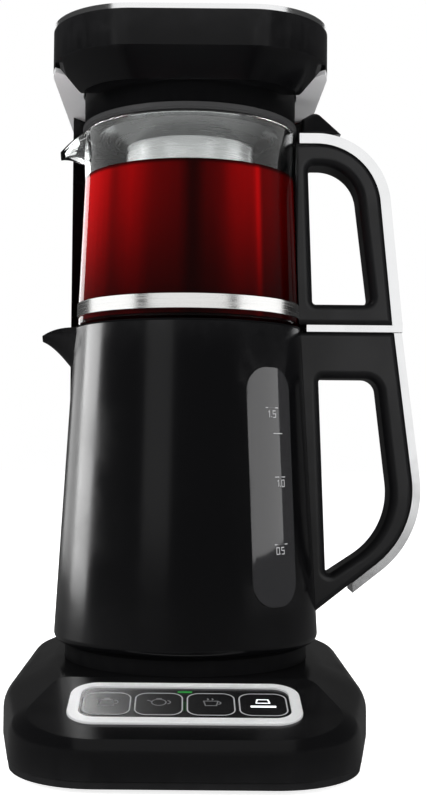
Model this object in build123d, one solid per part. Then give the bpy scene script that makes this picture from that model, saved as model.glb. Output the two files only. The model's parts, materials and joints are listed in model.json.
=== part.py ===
from build123d import *
import os
from math import cos, radians, sin, sqrt, tan

# Automatic tea maker: a kettle on a base station, a glass teapot on the kettle, and a head on a
# rear tower that drips hot water into the teapot's filter.
# Millimetres. +Z is up and -Y is the front. The pieces are drawn about the kettle's axis. As the
# files are written, all of them move together, so that the origin is on the floor under the middle
# of the whole footprint.

# ---- Base station ----
base_half_width = 96.0
base_front_half_width = 76.7
base_front_y = -137.5
base_taper_y = -38.0
base_back_y = 125.0
base_front_corner = 44.0
base_side_bend = 150.0
base_back_corner = 45.0
base_wall = 3.0
seam_z = 6.0
crease_z = 24.0
deck_z = 38.5
dome_foot_z = 27.0
dome_width = 26.0
dome_round = 22.0
shoulder_round = 14.0
control_slope_deg = 12.0

tray_floor_z = 2.5
tray_floor = 2.5
tray_step = 0.7
vent_count = 7
vent_width = 3.0
vent_length = 30.0
vent_pitch = 8.0
vent_y = 30.0
feet_radius = 9.0
feet_inset_x = 60.0
feet_front_y = -108.0
feet_back_y = 95.0
feet_peg_radius = 4.0
screw_share_x = 1.12
screw_share_y = 0.74
boss_radius = 5.0
screw_radius = 1.5
screw_head_radius = 3.2
screw_head = 2.0
screw_end_drop = 6.0
pilot_end_drop = 4.0
post_radius = 2.4
peg_radius = 1.2

# ---- Fits ----
cover_gap = 0.3
key_gap = 0.25
slide_gap = 0.1

# ---- Control panel ----
panel_inset = 37.7
bezel_width = 110.5
bezel_length = 44.5
bezel_corner = 13.5
bezel_rim = 4.5
bezel_lip = 0.8
bezel_proud = 1.3
bezel_skirt = 2.6
plate_thickness = 1.8
plate_sink = 0.5
key_count = 4
key_margin = 1.2
key_spacing = 1.3
key_length = 25.0
key_corner = 6.5
key_thickness = 3.0
key_proud = 0.3
key_shift = -1.4
key_travel = 0.8
key_stem_radius = 2.2
light_width = 7.0
light_length = 1.8
board_drop = 11.5
board_thickness = 1.6
board_length = 48.0
board_post_y = 20.6
switch_size = 6.0
switch_height = 3.5
switch_plunger_radius = 1.7
switch_plunger_rise = 1.0
light_space = 0.8
cut_depth = 9.0

# ---- Cord entry ----
gland_radius = 6.5
gland_flange = 2.0
gland_bore = 3.6
gland_z = 14.5
gland_x = -45.0

# ---- Dock ----
plinth_step = 6.5
plinth_sink = 1.5
plinth_height = 10.2
plinth_hub_radius = 24.0
connector_radius = 11.5
connector_rise = 5.2
contact_ring_radius = 7.6
contact_ring_thickness = 0.6
ring_slot_gap = 1.0
ring_slot_depth = 6.0
socket_radius = 2.6
nozzle_y = 43.0
nozzle_radius = 6.5
pin_radius = 1.3

# ---- Kettle ----
kettle_seat_gap = 0.3
kettle_height = 172.5
kettle_flare = 9.9
kettle_top_step = 1.8
kettle_edge = 4.5
kettle_wall = 2.6
heater_rise = 18.5
heater_thickness = 1.2
coil_radius = 29.0
coil_tube_radius = 3.6
coil_opening = 9.0
coil_end_drop = 13.0
thermostat_radius = 11.0
collar_height = 9.0
collar_width = 7.0
ridge_height = 1.6
ridge_width = 1.2
ridge_arc_deg = 150.0
spout_reach = 18.4
spout_half_width = 17.0
spout_tip_drop = 6.0
spout_root_drop = 32.0
spout_wall = 1.8
window_angle_deg = -49.0
window_width = 31.0
window_low_rise = 24.5
window_high_drop = 24.0
window_wall = 2.0
window_proud = 0.4
window_spread_deg = 16.0
lift_travel = 6.0
valve_travel = 3.0

# ---- Teapot ----
pot_seat_gap = 0.3
pot_height = 107.7
pot_foot_radius = 61.8
pot_waist_step = 2.8
pot_waist_rise = 81.7
pot_rim_step = 1.8
glass_wall = 2.2
glass_floor = 3.0
lip_reach = 13.0
lip_half_width = 19.0
lip_drop = 9.5
lip_depth = 15.0
lip_wall = 1.8
band_rise = 5.2
band_height = 7.5
band_thickness = 0.7
basket_radius = 36.0
basket_wall = 0.8
basket_depth = 64.0
basket_neck_drop = 6.5
basket_shoulder_step = 9.0
slot_rows = 3
slot_count = 24
slot_width = 1.6
slot_height = 8.0
slot_pitch = 12.0
slot_low_rise = 8.0
drip_rows = 2
drip_pitch = 11.0
drip_hole_radius = 1.4

# ---- Handles ----
handle_width = 24.0
handle_round = 3.0
grip_round = 4.5
kettle_trim_thickness = 4.5
pot_trim_thickness = 5.8
trim_step = 1.0
trim_seal_gap = 2.0
handle_step = 1.8
kettle_grip_reach = 50.9
kettle_arm_reach = 54.6
kettle_arm_rise = 60.9
kettle_arm_round = 52.0
kettle_arm_end = 13.5
kettle_web = 9.3
kettle_web_low = 3.8
kettle_loop_reach = 42.0
kettle_loop_drop = 27.4
kettle_loop_rise = 35.7
kettle_loop_round = 42.0
kettle_screw_inset = 14.0
pot_grip_drop = 3.7
pot_grip_reach = 43.8
pot_grip_low_reach = 51.8
pot_grip_round = 36.0
pot_web = 6.5
pot_web_low = 7.6
pot_loop_drop = 15.8
pot_loop_rise = 13.8
pot_loop_reach = 32.6
pot_loop_low_reach = 40.2
pot_loop_round = 22.0
pot_screw_rise = 25.7
kettle_trim_end = 18.5
bar_gap = 0.4
bar_height = 3.8
bar_inset = 2.4
thumb_rest_reach = 25.0
thumb_rest_peak = 10.8
thumb_rest_height = 12.8

# ---- Floating brew cover ----
seal_gap = 0.65
seal_thickness = 3.5
seal_step = 0.5
seal_width = 7.5
drum_height = 22.3
drum_wall = 2.4
drum_gap = 0.8
drum_lip = 3.0
drum_lip_thickness = 1.2
spray_rise = 3.0
spray_thickness = 1.6
spray_rows = 3
spray_pitch = 11.0
spray_hole = 1.3

# ---- Tower and head ----
tower_side_step = 3.6
tower_back_y = 120.0
tower_cove_gap = 6.0
tower_back_corner = 22.0
tower_wall = 2.6
tower_split_inset = 16.0
tower_screw_x = 28.0
tower_screw_inset = 41.5
tower_screw_length = 14.0
pilot_reach = 10.0
pilot_clear = 2.0

head_side_space = 10.3
head_front_space = 19.5
head_back_y = 121.0
head_front_corner = 44.0
head_back_corner = 23.0
head_wall = 2.4
head_floor_thickness = 2.4
head_height = 23.3
head_trim_height = 2.6
head_trim_width = 2.6
head_rib = 1.6
chin_drop = 7.2
chin_rise = 4.8
chin_step = 13.6
chin_front_inset = 17.5
chin_corner = 36.0
chin_end_y = -35.0

# ---- Pump and pipes ----
pump_x = 45.0
pump_y = 76.0
pump_axis_z = 19.5
pump_radius = 13.0
pump_length = 12.0
pump_wall = 2.0
pump_inlet = 10.0
pump_fit = 0.05
motor_radius = 11.0
motor_length = 24.0
shaft_radius = 1.0
blade_count = 6
hose_radius = 4.2
barb_radius = 2.9
barb_bore = 1.6
hose_fit = 0.1
hose_bend = 10.0
feed_bend = 6.0
feed_start_drop = 9.0
feed_end_gap = 8.0
head_hose_drop = 8.4

# ---- Mains board ----
mains_x = -38.0
mains_y = 60.0
mains_width = 46.0
mains_length = 70.0
mains_post = 4.0
mains_post_inset = 4.0
mains_margin = 7.0
relay_inset = 3.0
transformer_inset = 1.0
transformer_setback = 2.0
terminals_inset = 2.0
relay_width = 16.0
relay_length = 19.0
relay_height = 14.0
transformer_width = 20.0
transformer_length = 22.0
transformer_height = 16.0
terminals_width = 17.0
terminals_length = 14.0
terminals_height = 10.0
capacitor_radius = 6.0
capacitor_height = 17.0

# ---- Dependent sizes ----
slope = radians(control_slope_deg)
panel_y = base_front_y + panel_inset
panel_z = crease_z + panel_inset * tan(slope)
panel_plane = Plane((0, panel_y, panel_z), x_dir=(1, 0, 0), z_dir=(0, -sin(slope), cos(slope)))
panel_corner = bezel_corner - bezel_rim
plate_width = bezel_width - 2 * bezel_rim
plate_length = bezel_length - 2 * bezel_rim
key_width = (plate_width - 2 * (bezel_lip + key_margin) - (key_count - 1) * key_spacing) / key_count
key_pitch = key_width + key_spacing
tray_top_z = tray_floor_z + tray_floor

plinth_floor_z = deck_z - plinth_sink
plinth_top_z = plinth_floor_z + plinth_height
connector_z = plinth_top_z + connector_rise
kettle_foot_z = plinth_top_z + kettle_seat_gap
kettle_top_z = kettle_foot_z + kettle_height
kettle_top_radius = pot_foot_radius + kettle_top_step
kettle_foot_radius = kettle_top_radius + kettle_flare
plinth_radius = kettle_foot_radius - plinth_step
kettle_lean = (kettle_foot_radius - kettle_top_radius) / kettle_height
heater_z = kettle_foot_z + heater_rise
spout_tip_x = kettle_top_radius + spout_reach
spout_tip_z = kettle_top_z - spout_tip_drop
spout_root_z = kettle_top_z - spout_root_drop
window_low_z = kettle_foot_z + window_low_rise
window_high_z = kettle_top_z - window_high_drop

pot_bottom_z = kettle_top_z + pot_seat_gap
pot_rim_z = pot_bottom_z + pot_height
pot_waist_z = pot_bottom_z + pot_waist_rise
pot_waist_radius = pot_foot_radius - pot_waist_step
pot_rim_radius = pot_foot_radius - pot_rim_step
lip_tip_x = pot_rim_radius + lip_reach
lip_tip_z = pot_rim_z - lip_drop
band_low_z = pot_bottom_z + band_rise
band_high_z = band_low_z + band_height
basket_floor_z = pot_rim_z - basket_depth
basket_shoulder_radius = pot_rim_radius - basket_shoulder_step
basket_neck_z = pot_rim_z - basket_neck_drop
flange_low_z = pot_rim_z + slide_gap / 2

kettle_grip_top_z = kettle_top_z - handle_step
kettle_arm_z = kettle_foot_z + kettle_arm_rise
kettle_hole_top_z = kettle_top_z - kettle_loop_drop
kettle_hole_low_z = kettle_foot_z + kettle_loop_rise
pot_grip_top_z = pot_rim_z - pot_grip_drop
bar_low_z = kettle_grip_top_z + bar_gap
bar_high_z = bar_low_z + bar_height
pot_grip_low_z = bar_high_z + slide_gap
pot_hole_top_z = pot_rim_z - pot_loop_drop
pot_hole_low_z = pot_bottom_z + pot_loop_rise
pot_screw_z = pot_bottom_z + pot_screw_rise

seal_low_z = flange_low_z + basket_wall + seal_gap
drum_bottom_z = seal_low_z + seal_thickness
drum_radius = pot_rim_radius - seal_step
seal_radius = pot_rim_radius + seal_step
seal_inner_radius = seal_radius - seal_width
drum_top_z = drum_bottom_z + drum_height - drum_lip_thickness
spray_z = drum_bottom_z + spray_rise
head_floor_top_z = drum_top_z - 0.2
head_floor_z = head_floor_top_z - head_floor_thickness
head_top_z = head_floor_z + head_height
trim_top_z = head_top_z + head_trim_height
head_hose_z = head_top_z - head_hose_drop
chin_z = head_floor_z - chin_drop
head_crease_z = head_floor_z + chin_rise
head_half_width = drum_radius + drum_lip + drum_gap + head_side_space
head_front_y = -drum_radius - head_front_space
tower_half_width = head_half_width - tower_side_step
chin_half_width = head_half_width - chin_step
chin_front_y = head_front_y + chin_front_inset
tower_cove_radius = kettle_foot_radius + tower_cove_gap
tower_split_y = tower_back_y - tower_split_inset
motor_y = pump_y + pump_length


# ---- Helpers ----
def disc(radius, low, high, x=0, y=0):
    """Upright cylinder between two heights."""
    return Pos(x, y, (low + high) / 2) * Cylinder(radius, high - low)


def ring(outer, inner, low, high, x=0, y=0):
    """Upright tube between two heights."""
    return disc(outer, low, high, x, y) - disc(inner, low - 1, high + 1, x, y)


def block(x0, x1, y0, y1, z0, z1):
    """Box between two corners."""
    centre = Pos((x0 + x1) / 2, (y0 + y1) / 2, (z0 + z1) / 2)
    return centre * Box(x1 - x0, y1 - y0, z1 - z0)


def outline(*corners):
    """Closed face from (x, y, corner radius) triples."""
    points = [(x, y) for x, y, radius in corners]
    radii = [radius for x, y, radius in corners]
    return make_face(FilletPolyline(*points, radius=radii, close=True))


def prism(face, low, high):
    """A flat face raised between two heights."""
    return Pos(0, 0, low) * extrude(face, high - low)


def turned(*points):
    """Solid of revolution about the upright axis through (radius, height) points."""
    return revolve(make_face(Polyline(*[(r, 0, z) for r, z in points], close=True)), Axis.Z)


def side_slab(face, width):
    """Slab whose side view in X and Z is the face, centred on the handle's plane."""
    return extrude(Plane.XZ * face, width / 2, both=True)


def mirrored_plan(*corners):
    """Closed plan, left and right alike, from the right half's corners, front to back."""
    left = [(-x, y, radius) for x, y, radius in reversed(corners)]
    return outline(*corners, *left)


def pipe(points, radii, outer, bore):
    """Hose along straight runs joined by arcs."""
    path = FilletPolyline(*points, radius=radii)
    section = Plane(path @ 0, z_dir=path % 0)
    tube = sweep(section * Circle(outer), path=path)
    return tube - sweep(section * Circle(bore), path=path)


def kettle_radius(z):
    """Outer radius of the kettle at a height."""
    return kettle_foot_radius - (z - kettle_foot_z) * kettle_lean


def on_panel(shape, x=0, y=0, z=0):
    """Place a shape on the sloped control face: x to the right, y up the slope, z outwards."""
    return panel_plane * Pos(x, y, z) * shape


def rounded_plate(width, length, corner, low, high):
    """Flat plate with rounded corners."""
    return prism(RectangleRounded(width, length, corner), low, high)


def save_all(nodes):
    """Write each node's STEP file, with the origin under the middle of the footprint."""
    boxes = [piece.bounding_box() for pieces in nodes.values() for piece in pieces]
    middle_x = (min(b.min.X for b in boxes) + max(b.max.X for b in boxes)) / 2
    middle_y = (min(b.min.Y for b in boxes) + max(b.max.Y for b in boxes)) / 2
    os.makedirs("parts", exist_ok=True)
    for node, pieces in nodes.items():
        placed = [Pos(-middle_x, -middle_y) * piece for piece in pieces]
        export_step(Compound(children=placed) if len(placed) > 1 else placed[0], f"parts/{node}.step")


# ---- Base station ----
def base_plan():
    """Plan of the base: a flat front, sides that widen to the back, round corners."""
    return mirrored_plan(
        (base_front_half_width, base_front_y, base_front_corner),
        (base_half_width, base_taper_y, base_side_bend),
        (base_half_width, base_back_y, base_back_corner),
    )


def tower_plan():
    """Plan of the tower: round back corners and a coved front that follows the kettle."""
    side_y = sqrt(tower_cove_radius**2 - tower_half_width**2)
    blank = mirrored_plan(
        (tower_half_width, side_y, 0),
        (tower_half_width, tower_back_y, tower_back_corner),
    )
    return blank - Circle(tower_cove_radius)


def base_block(inset):
    """Outer form of the base, shrunk on every side by the inset."""
    plan = base_plan() if inset == 0 else offset(base_plan(), -inset)
    shoulder = offset(plan, -dome_width)
    dome = loft([Pos(0, 0, dome_foot_z) * plan, Pos(0, 0, deck_z) * shoulder], ruled=True)
    dome = fillet(dome.faces().sort_by(Axis.Z)[-1].edges(), dome_round)
    form = prism(plan, seam_z, dome_foot_z) + dome
    foot_edges = [edge for edge in form.edges() if abs(edge.center().Z - dome_foot_z) < 0.01]
    form = fillet(foot_edges, shoulder_round)
    above = Plane((0, base_front_y, crease_z), z_dir=panel_plane.z_dir)
    waste = above * Pos(0, 0, dome_width) * Box(3 * base_half_width, 2 * base_back_y, 2 * dome_width)
    return Pos(0, 0, -inset) * (form - waste)


def foot_places():
    """Centres of the four feet."""
    return [(x, y) for x in (-feet_inset_x, feet_inset_x) for y in (feet_front_y, feet_back_y)]


def screw_places():
    """Centres of the four casing screws, beside the feet."""
    return [(x * screw_share_x, y * screw_share_y) for x, y in foot_places()]


def make_base_cover():
    """Domed upper casing, open below, with a seat for the tower, the dock and the panel."""
    pad = prism(tower_plan(), crease_z, deck_z)
    cover = base_block(0) + pad
    cavity = base_block(base_wall) + Pos(0, 0, -base_wall) * prism(
        offset(tower_plan(), -base_wall), crease_z - base_wall, deck_z
    )
    cavity += Pos(0, 0, -base_wall) * prism(offset(base_plan(), -base_wall), 0, seam_z + base_wall)
    cover -= cavity
    cover -= disc(plinth_radius + key_gap, plinth_floor_z, deck_z + 20)
    cover -= disc(plinth_hub_radius, seam_z, deck_z)
    cover -= disc(nozzle_radius + 2, seam_z, deck_z, y=nozzle_y)
    cover -= disc(hose_radius + 1, crease_z, deck_z + 1, pump_x, pump_y + pump_length / 2)
    well_width, well_length = plate_width + 2 * key_gap, plate_length + 2 * key_gap
    cover -= on_panel(rounded_plate(well_width, well_length, panel_corner, -cut_depth, cut_depth))
    boss_limit = base_block(base_wall / 2)
    for x, y in screw_places():
        boss = disc(boss_radius, tray_top_z, deck_z, x, y) & boss_limit
        cover += boss - disc(screw_radius, 0, crease_z - pilot_end_drop, x, y)
    for x, y in board_post_places():
        post = Pos(x, y, -board_drop / 2) * Cylinder(post_radius, board_drop)
        peg = Pos(x, y, -board_drop) * Cylinder(peg_radius, 4 * board_thickness)
        cover += (on_panel(post) & boss_limit) + on_panel(peg)
    cover -= gland_place() * Cylinder(gland_radius, 4 * base_wall)
    return cover


def make_base_tray():
    """Lower casing: floor with vents, and a rim that steps into the cover."""
    plan = offset(base_plan(), -tray_step)
    rim_top = seam_z - cover_gap
    tray = prism(plan, tray_floor_z, rim_top)
    tray -= prism(offset(plan, -base_wall), tray_top_z, seam_z)
    for x, y in foot_places():
        tray -= disc(feet_peg_radius, 0, seam_z, x, y)
    for x, y in screw_places():
        tray -= disc(screw_radius, 0, seam_z, x, y)
        tray -= disc(screw_head_radius, 0, tray_floor_z + tray_floor / 2, x, y)
    vent = RectangleRounded(vent_width, vent_length, vent_width * 0.45)
    for i in range(vent_count):
        tray -= prism(Pos((i - (vent_count - 1) / 2) * vent_pitch, vent_y) * vent, 0, seam_z)
    return tray


def make_rubber_feet():
    """Four feet, each with a peg up into the tray."""
    return [
        disc(feet_radius, 0, tray_floor_z, x, y)
        + disc(feet_peg_radius - key_gap, tray_floor_z, tray_top_z + 0.5, x, y)
        for x, y in foot_places()
    ]


def make_base_screws():
    """Four screws, heads in the tray and shanks up in the cover's bosses."""
    seat = tray_floor_z + tray_floor / 2
    return [
        disc(screw_head_radius - key_gap, seat - screw_head / 2, seat, x, y)
        + disc(screw_radius - key_gap, seat, crease_z - screw_end_drop, x, y)
        for x, y in screw_places()
    ]


def gland_place():
    """Frame of the cord entry, on the back wall with its axis to the rear."""
    return Pos(gland_x, base_back_y - base_wall / 2, gland_z) * Rot(-90, 0, 0)


def make_cord_gland():
    """Flanged bush in the back wall, with a bore for the mains lead."""
    bush = Cylinder(gland_radius - key_gap, base_wall + 2 * gland_flange)
    flange = Pos(0, 0, (base_wall + gland_flange) / 2) * Cylinder(gland_radius + gland_flange, gland_flange)
    return gland_place() * (bush + flange - Cylinder(gland_bore, 10 * gland_flange))


# ---- Control panel ----
def make_panel_bezel():
    """Raised frame round the panel, with a skirt down through the cover."""
    frame = rounded_plate(bezel_width, bezel_length, bezel_corner, 0, bezel_proud)
    rim = frame.faces().sort_by(Axis.Z)[-1].edges()
    frame = fillet(rim, bezel_proud * 0.6)
    skirt = rounded_plate(plate_width, plate_length, panel_corner, -bezel_skirt, 0)
    opening = rounded_plate(
        plate_width - 2 * bezel_lip,
        plate_length - 2 * bezel_lip,
        panel_corner - bezel_lip,
        -cut_depth,
        cut_depth,
    )
    return on_panel(frame + skirt - opening)


def key_places():
    """Centre of each key along the panel."""
    return [(i - (key_count - 1) / 2) * key_pitch for i in range(key_count)]


def make_panel_plate():
    """Panel inside the bezel, with an opening for each key and for the light."""
    lip = bezel_lip + slide_gap
    plate = rounded_plate(
        plate_width - 2 * lip,
        plate_length - 2 * lip,
        panel_corner - lip,
        plate_sink - plate_thickness,
        plate_sink,
    )
    hole = rounded_plate(
        key_width + 2 * key_gap,
        key_length + 2 * key_gap,
        key_corner + key_gap,
        -cut_depth,
        cut_depth,
    )
    for x in key_places():
        plate -= Pos(x, key_shift, 0) * hole
    light_hole = Box(light_width + 2 * slide_gap, light_length + 2 * slide_gap, 2 * cut_depth)
    return on_panel(plate - Pos(0, light_y(), 0) * light_hole)


def light_y():
    """Place of the ready light, above the keys."""
    return key_shift + key_length / 2 + light_length / 2 + light_space


def make_key(x):
    """Key cap with a dished top and a stem down to its switch."""
    top = plate_sink + key_proud
    cap = rounded_plate(key_width, key_length, key_corner, top - key_thickness, top)
    cap = fillet(cap.faces().sort_by(Axis.Z)[-1].edges(), 0.4)
    stem_low = -board_drop + switch_height + key_travel + cover_gap
    stem = Cylinder(key_stem_radius, top - 1 - stem_low)
    return on_panel(cap + Pos(0, 0, (top - 1 + stem_low) / 2) * stem, x, key_shift)


def board_post_places():
    """Places of the posts that carry the key board, in the panel's frame."""
    reach = plate_width / 2 - 2 * post_radius
    return [(x, y) for x in (-reach, reach) for y in (-board_post_y, board_post_y)]


def make_key_board():
    """Circuit board on the cover's posts, with one push switch under each key's stem."""
    board = rounded_plate(plate_width, board_length, 2, -board_drop - board_thickness, -board_drop)
    body_height = switch_height - switch_plunger_rise
    body = Pos(0, 0, body_height / 2) * Box(switch_size, switch_size, body_height)
    plunger = Pos(0, 0, switch_height / 2) * Cylinder(switch_plunger_radius, switch_height)
    for x in key_places():
        board += Pos(x, key_shift, -board_drop) * (body + plunger)
    for x, y in board_post_places():
        board -= Pos(x, y, -board_drop) * Cylinder(peg_radius + cover_gap, 4 * board_thickness)
    return on_panel(board)


def make_ready_light():
    """Light pipe from the key board to the panel's face."""
    height = plate_sink + board_drop
    return on_panel(Box(light_width, light_length, height), 0, light_y(), plate_sink - height / 2)


# ---- Dock ----
def make_dock_plate():
    """Round plinth that the kettle stands on, with a drain groove and a hub for the connector."""
    plate = turned(
        (plinth_hub_radius - 3, plinth_floor_z),
        (plinth_radius, plinth_floor_z),
        (plinth_radius, plinth_top_z - 1),
        (plinth_radius - 1, plinth_top_z),
        (plinth_radius - 8, plinth_top_z),
        (plinth_radius - 9.5, plinth_top_z - 2.5),
        (plinth_hub_radius + 1, plinth_top_z - 2.5),
        (plinth_hub_radius, plinth_top_z - 1),
        (connector_radius + 0.2, plinth_top_z - 1),
        (connector_radius + 0.2, plinth_top_z - 4),
        (plinth_hub_radius - 3, plinth_top_z - 4),
    )
    boss_top = plinth_top_z - 1.5
    plate += disc(nozzle_radius + 3, plinth_floor_z, boss_top, y=nozzle_y)
    return plate - disc(nozzle_radius + slide_gap, 0, kettle_foot_z, y=nozzle_y)


def make_dock_connector():
    """Central round connector, with a ring groove and a middle socket."""
    return turned(
        (socket_radius, plinth_floor_z - 8),
        (plinth_hub_radius - 3.3, plinth_floor_z - 8),
        (plinth_hub_radius - 3.3, plinth_top_z - 4.3),
        (connector_radius, plinth_top_z - 4.3),
        (connector_radius, connector_z - 1.2),
        (connector_radius - 1.2, connector_z),
        (contact_ring_radius + ring_slot_gap, connector_z),
        (contact_ring_radius + ring_slot_gap, connector_z - ring_slot_depth),
        (contact_ring_radius - ring_slot_gap, connector_z - ring_slot_depth),
        (contact_ring_radius - ring_slot_gap, connector_z),
        (socket_radius, connector_z),
    )


def make_dock_nozzle():
    """Water port with a centre pin on a spider, which opens the kettle's valve."""
    low = plinth_floor_z - 12
    tube = ring(nozzle_radius, nozzle_radius - 2.5, plinth_floor_z - 3, plinth_top_z - 0.6, y=nozzle_y)
    tube += ring(barb_radius, barb_bore, low, plinth_floor_z - 3, y=nozzle_y)
    tube += ring(nozzle_radius, barb_bore, plinth_floor_z - 3, plinth_floor_z - 1.5, y=nozzle_y)
    spider_z = plinth_top_z - 6
    tube += Pos(0, nozzle_y, spider_z) * Box(2 * nozzle_radius - 1, 1.2, 2)
    return tube + disc(pin_radius, spider_z - 1, kettle_foot_z + 2, y=nozzle_y)


def make_dock_seal():
    """Soft ring round the water port, just below the kettle's foot."""
    return ring(nozzle_radius + 2.8, nozzle_radius + 0.3, plinth_top_z - 1.5, plinth_top_z, y=nozzle_y)


# ---- Boards ----
def make_power_board():
    """Mains board on the tray: relay, transformer, capacitor and terminal block."""
    board_z = tray_top_z + mains_post
    x, y = mains_x, mains_y
    board = Pos(x, y, board_z + board_thickness / 2) * Box(mains_width, mains_length, board_thickness)
    post_x, post_y = mains_width / 2 - mains_post_inset, mains_length / 2 - 1.5 * mains_post_inset
    for dx in (-post_x, post_x):
        for dy in (-post_y, post_y):
            board += disc(post_radius, tray_top_z, board_z, x + dx, y + dy)
    top = board_z + board_thickness
    left, right = x - mains_width / 2 + relay_inset, x + mains_width / 2
    front, back = y - mains_length / 2 + mains_margin, y + mains_length / 2 - mains_margin
    board += block(left, left + relay_width, front, front + relay_length, top, top + relay_height)
    side, near = right - transformer_inset, front + transformer_setback
    transformer_top = top + transformer_height
    board += block(side - transformer_width, side, near, near + transformer_length, top, transformer_top)
    side = right - terminals_inset
    board += block(side - terminals_width, side, back - terminals_length, back, top, top + terminals_height)
    capacitor_y = y + capacitor_radius
    return board + disc(capacitor_radius, top, top + capacitor_height, x - 2 * capacitor_radius, capacitor_y)


# ---- Pump and hoses ----
def pump_frame(y):
    """Frame on the pump's axis, facing the rear, at a distance from the front."""
    return Pos(pump_x, y, pump_axis_z) * Rot(-90, 0, 0)


def pump_outlet():
    """Height of the volute's outlet spigot top."""
    return pump_axis_z + pump_radius + 3


def make_pump_housing():
    """Volute with an axial inlet, an upward outlet and a foot on the tray."""
    centre = pump_y + pump_length / 2
    drum = pump_frame(centre) * Cylinder(pump_radius, pump_length)
    drum += pump_frame(pump_y - pump_inlet / 2) * Cylinder(barb_radius, pump_inlet)
    drum += disc(barb_radius, pump_axis_z, pump_outlet(), pump_x, centre)
    drum += block(
        pump_x - 8, pump_x + 8, pump_y + 2, pump_y + pump_length - 2, tray_top_z, pump_axis_z
    )
    chamber = pump_length - 2 * pump_wall
    drum -= pump_frame(centre) * Cylinder(pump_radius - pump_wall, chamber)
    drum -= pump_frame(pump_y - pump_inlet / 2) * Cylinder(barb_bore, pump_inlet + 4)
    drum -= disc(barb_bore, pump_axis_z, pump_outlet() + 1, pump_x, centre)
    return drum - pump_frame(motor_y) * Cylinder(shaft_radius + pump_fit, 2 * pump_length)


def make_pump_rotor():
    """Shaft with a six-bladed impeller."""
    centre = pump_y + pump_length / 2
    chamber = pump_length - 2 * pump_wall
    reach = pump_radius - pump_wall - 1.5
    hub_back = centre + chamber / 2 - 0.8
    rotor = pump_frame(hub_back - 1) * Cylinder(reach, 1.2)
    blade_height = chamber - 2.6
    for i in range(blade_count):
        turn = Rot(0, 0, i * 360 / blade_count)
        blade = turn * Pos(reach / 2 + 1, 0, 0) * Box(reach - 3, 1, blade_height)
        rotor += pump_frame(hub_back - 1.4 - blade_height / 2) * blade
    shaft_front = centre - 1
    shaft_back = motor_y + motor_length - 4
    length = shaft_back - shaft_front
    rotor += pump_frame((shaft_front + shaft_back) / 2) * Cylinder(shaft_radius, length)
    return rotor


def make_pump_motor():
    """Motor can behind the volute, with a bore for the shaft."""
    centre = motor_y + motor_length / 2
    can = pump_frame(centre) * Cylinder(motor_radius, motor_length)
    can += pump_frame(motor_y + motor_length + 1) * Cylinder(3.5, 2)
    return can - pump_frame(motor_y + motor_length / 2 - 3) * Cylinder(
        shaft_radius + pump_fit, motor_length - 0.5
    )


def make_feed_tube():
    """Hose from the dock's water port to the pump inlet."""
    start_z = plinth_floor_z - feed_start_drop
    end_y = pump_y - feed_end_gap
    points = [
        (0, nozzle_y, start_z),
        (0, nozzle_y, pump_axis_z),
        (pump_x, nozzle_y, pump_axis_z),
        (pump_x, end_y, pump_axis_z),
    ]
    return pipe(points, [feed_bend, hose_bend], hose_radius, barb_radius + hose_fit)


def make_riser_tube():
    """Hose from the pump up the tower and over to the middle of the head."""
    centre = pump_y + pump_length / 2
    points = [
        (pump_x, centre, pump_outlet() - 2.5),
        (pump_x, centre, head_hose_z),
        (0, centre, head_hose_z),
        (0, 10, head_hose_z),
    ]
    return pipe(points, [hose_bend, hose_bend], hose_radius, barb_radius + hose_fit)


def make_water_elbow():
    """Elbow from the riser down to the middle of the spray plate."""
    low = drum_bottom_z + spray_thickness + lift_travel + 6
    points = [(0, 14, head_hose_z), (0, 0, head_hose_z), (0, 0, low)]
    elbow = pipe(points, [6], barb_radius, barb_bore)
    post = disc(barb_radius - 0.5, head_hose_z + 2.6, head_top_z, 0, 6)
    return elbow + post


# ---- Tower ----
def tower_wall_face():
    """Section of the tower's wall."""
    return tower_plan() - offset(tower_plan(), -tower_wall)


def tower_screw_places():
    """Heights of the tower's screws, on both sides of the back cover."""
    heights = (deck_z + tower_screw_inset, head_floor_z - tower_screw_inset)
    return [(x, z) for x in (-tower_screw_x, tower_screw_x) for z in heights]


def make_tower_front():
    """Coved front and side walls of the tower, with bosses for the cover's screws."""
    keep = Pos(0, tower_split_y - tower_back_y) * Rectangle(3 * tower_half_width, 2 * tower_back_y)
    wall = prism(tower_wall_face() & keep, deck_z, head_floor_z)
    for x, z in tower_screw_places():
        cove_y = sqrt(tower_cove_radius**2 - x**2)
        depth = tower_back_y - tower_wall - cover_gap - cove_y
        boss = Pos(x, cove_y + depth / 2, z) * Rot(90, 0, 0) * Cylinder(boss_radius, depth)
        pilot = Rot(90, 0, 0) * Cylinder(screw_radius, 2 * pilot_reach)
        boss -= Pos(x, tower_back_y + pilot_clear - pilot_reach, z) * pilot
        wall += boss - disc(tower_cove_radius + 0.5, deck_z, head_floor_z)
    return wall


def make_tower_back():
    """Rear cover of the tower, wrapped round its back corners."""
    middle_y = tower_split_y + cover_gap + tower_back_y
    keep = Pos(0, middle_y) * Rectangle(3 * tower_half_width, 2 * tower_back_y)
    wall = prism(tower_wall_face() & keep, deck_z, head_floor_z)
    for x, z in tower_screw_places():
        hole = Cylinder(screw_radius + 0.2, 2 * pilot_reach)
        hole += Cylinder(screw_head_radius, 2 * screw_head * 0.7)
        wall -= Pos(x, tower_back_y, z) * Rot(90, 0, 0) * hole
    return wall


def make_tower_screws():
    """Screws of the rear cover, heads sunk in it."""
    screws = []
    seat = tower_back_y - screw_head * 0.7
    for x, z in tower_screw_places():
        head = Rot(90, 0, 0) * Cylinder(screw_head_radius - key_gap, screw_head * 0.6)
        shank = Rot(90, 0, 0) * Cylinder(screw_radius - key_gap, tower_screw_length)
        shank_y = seat - tower_screw_length / 2
        screws.append(Pos(x, seat + screw_head * 0.3, z) * head + Pos(x, shank_y, z) * shank)
    return screws


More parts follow.
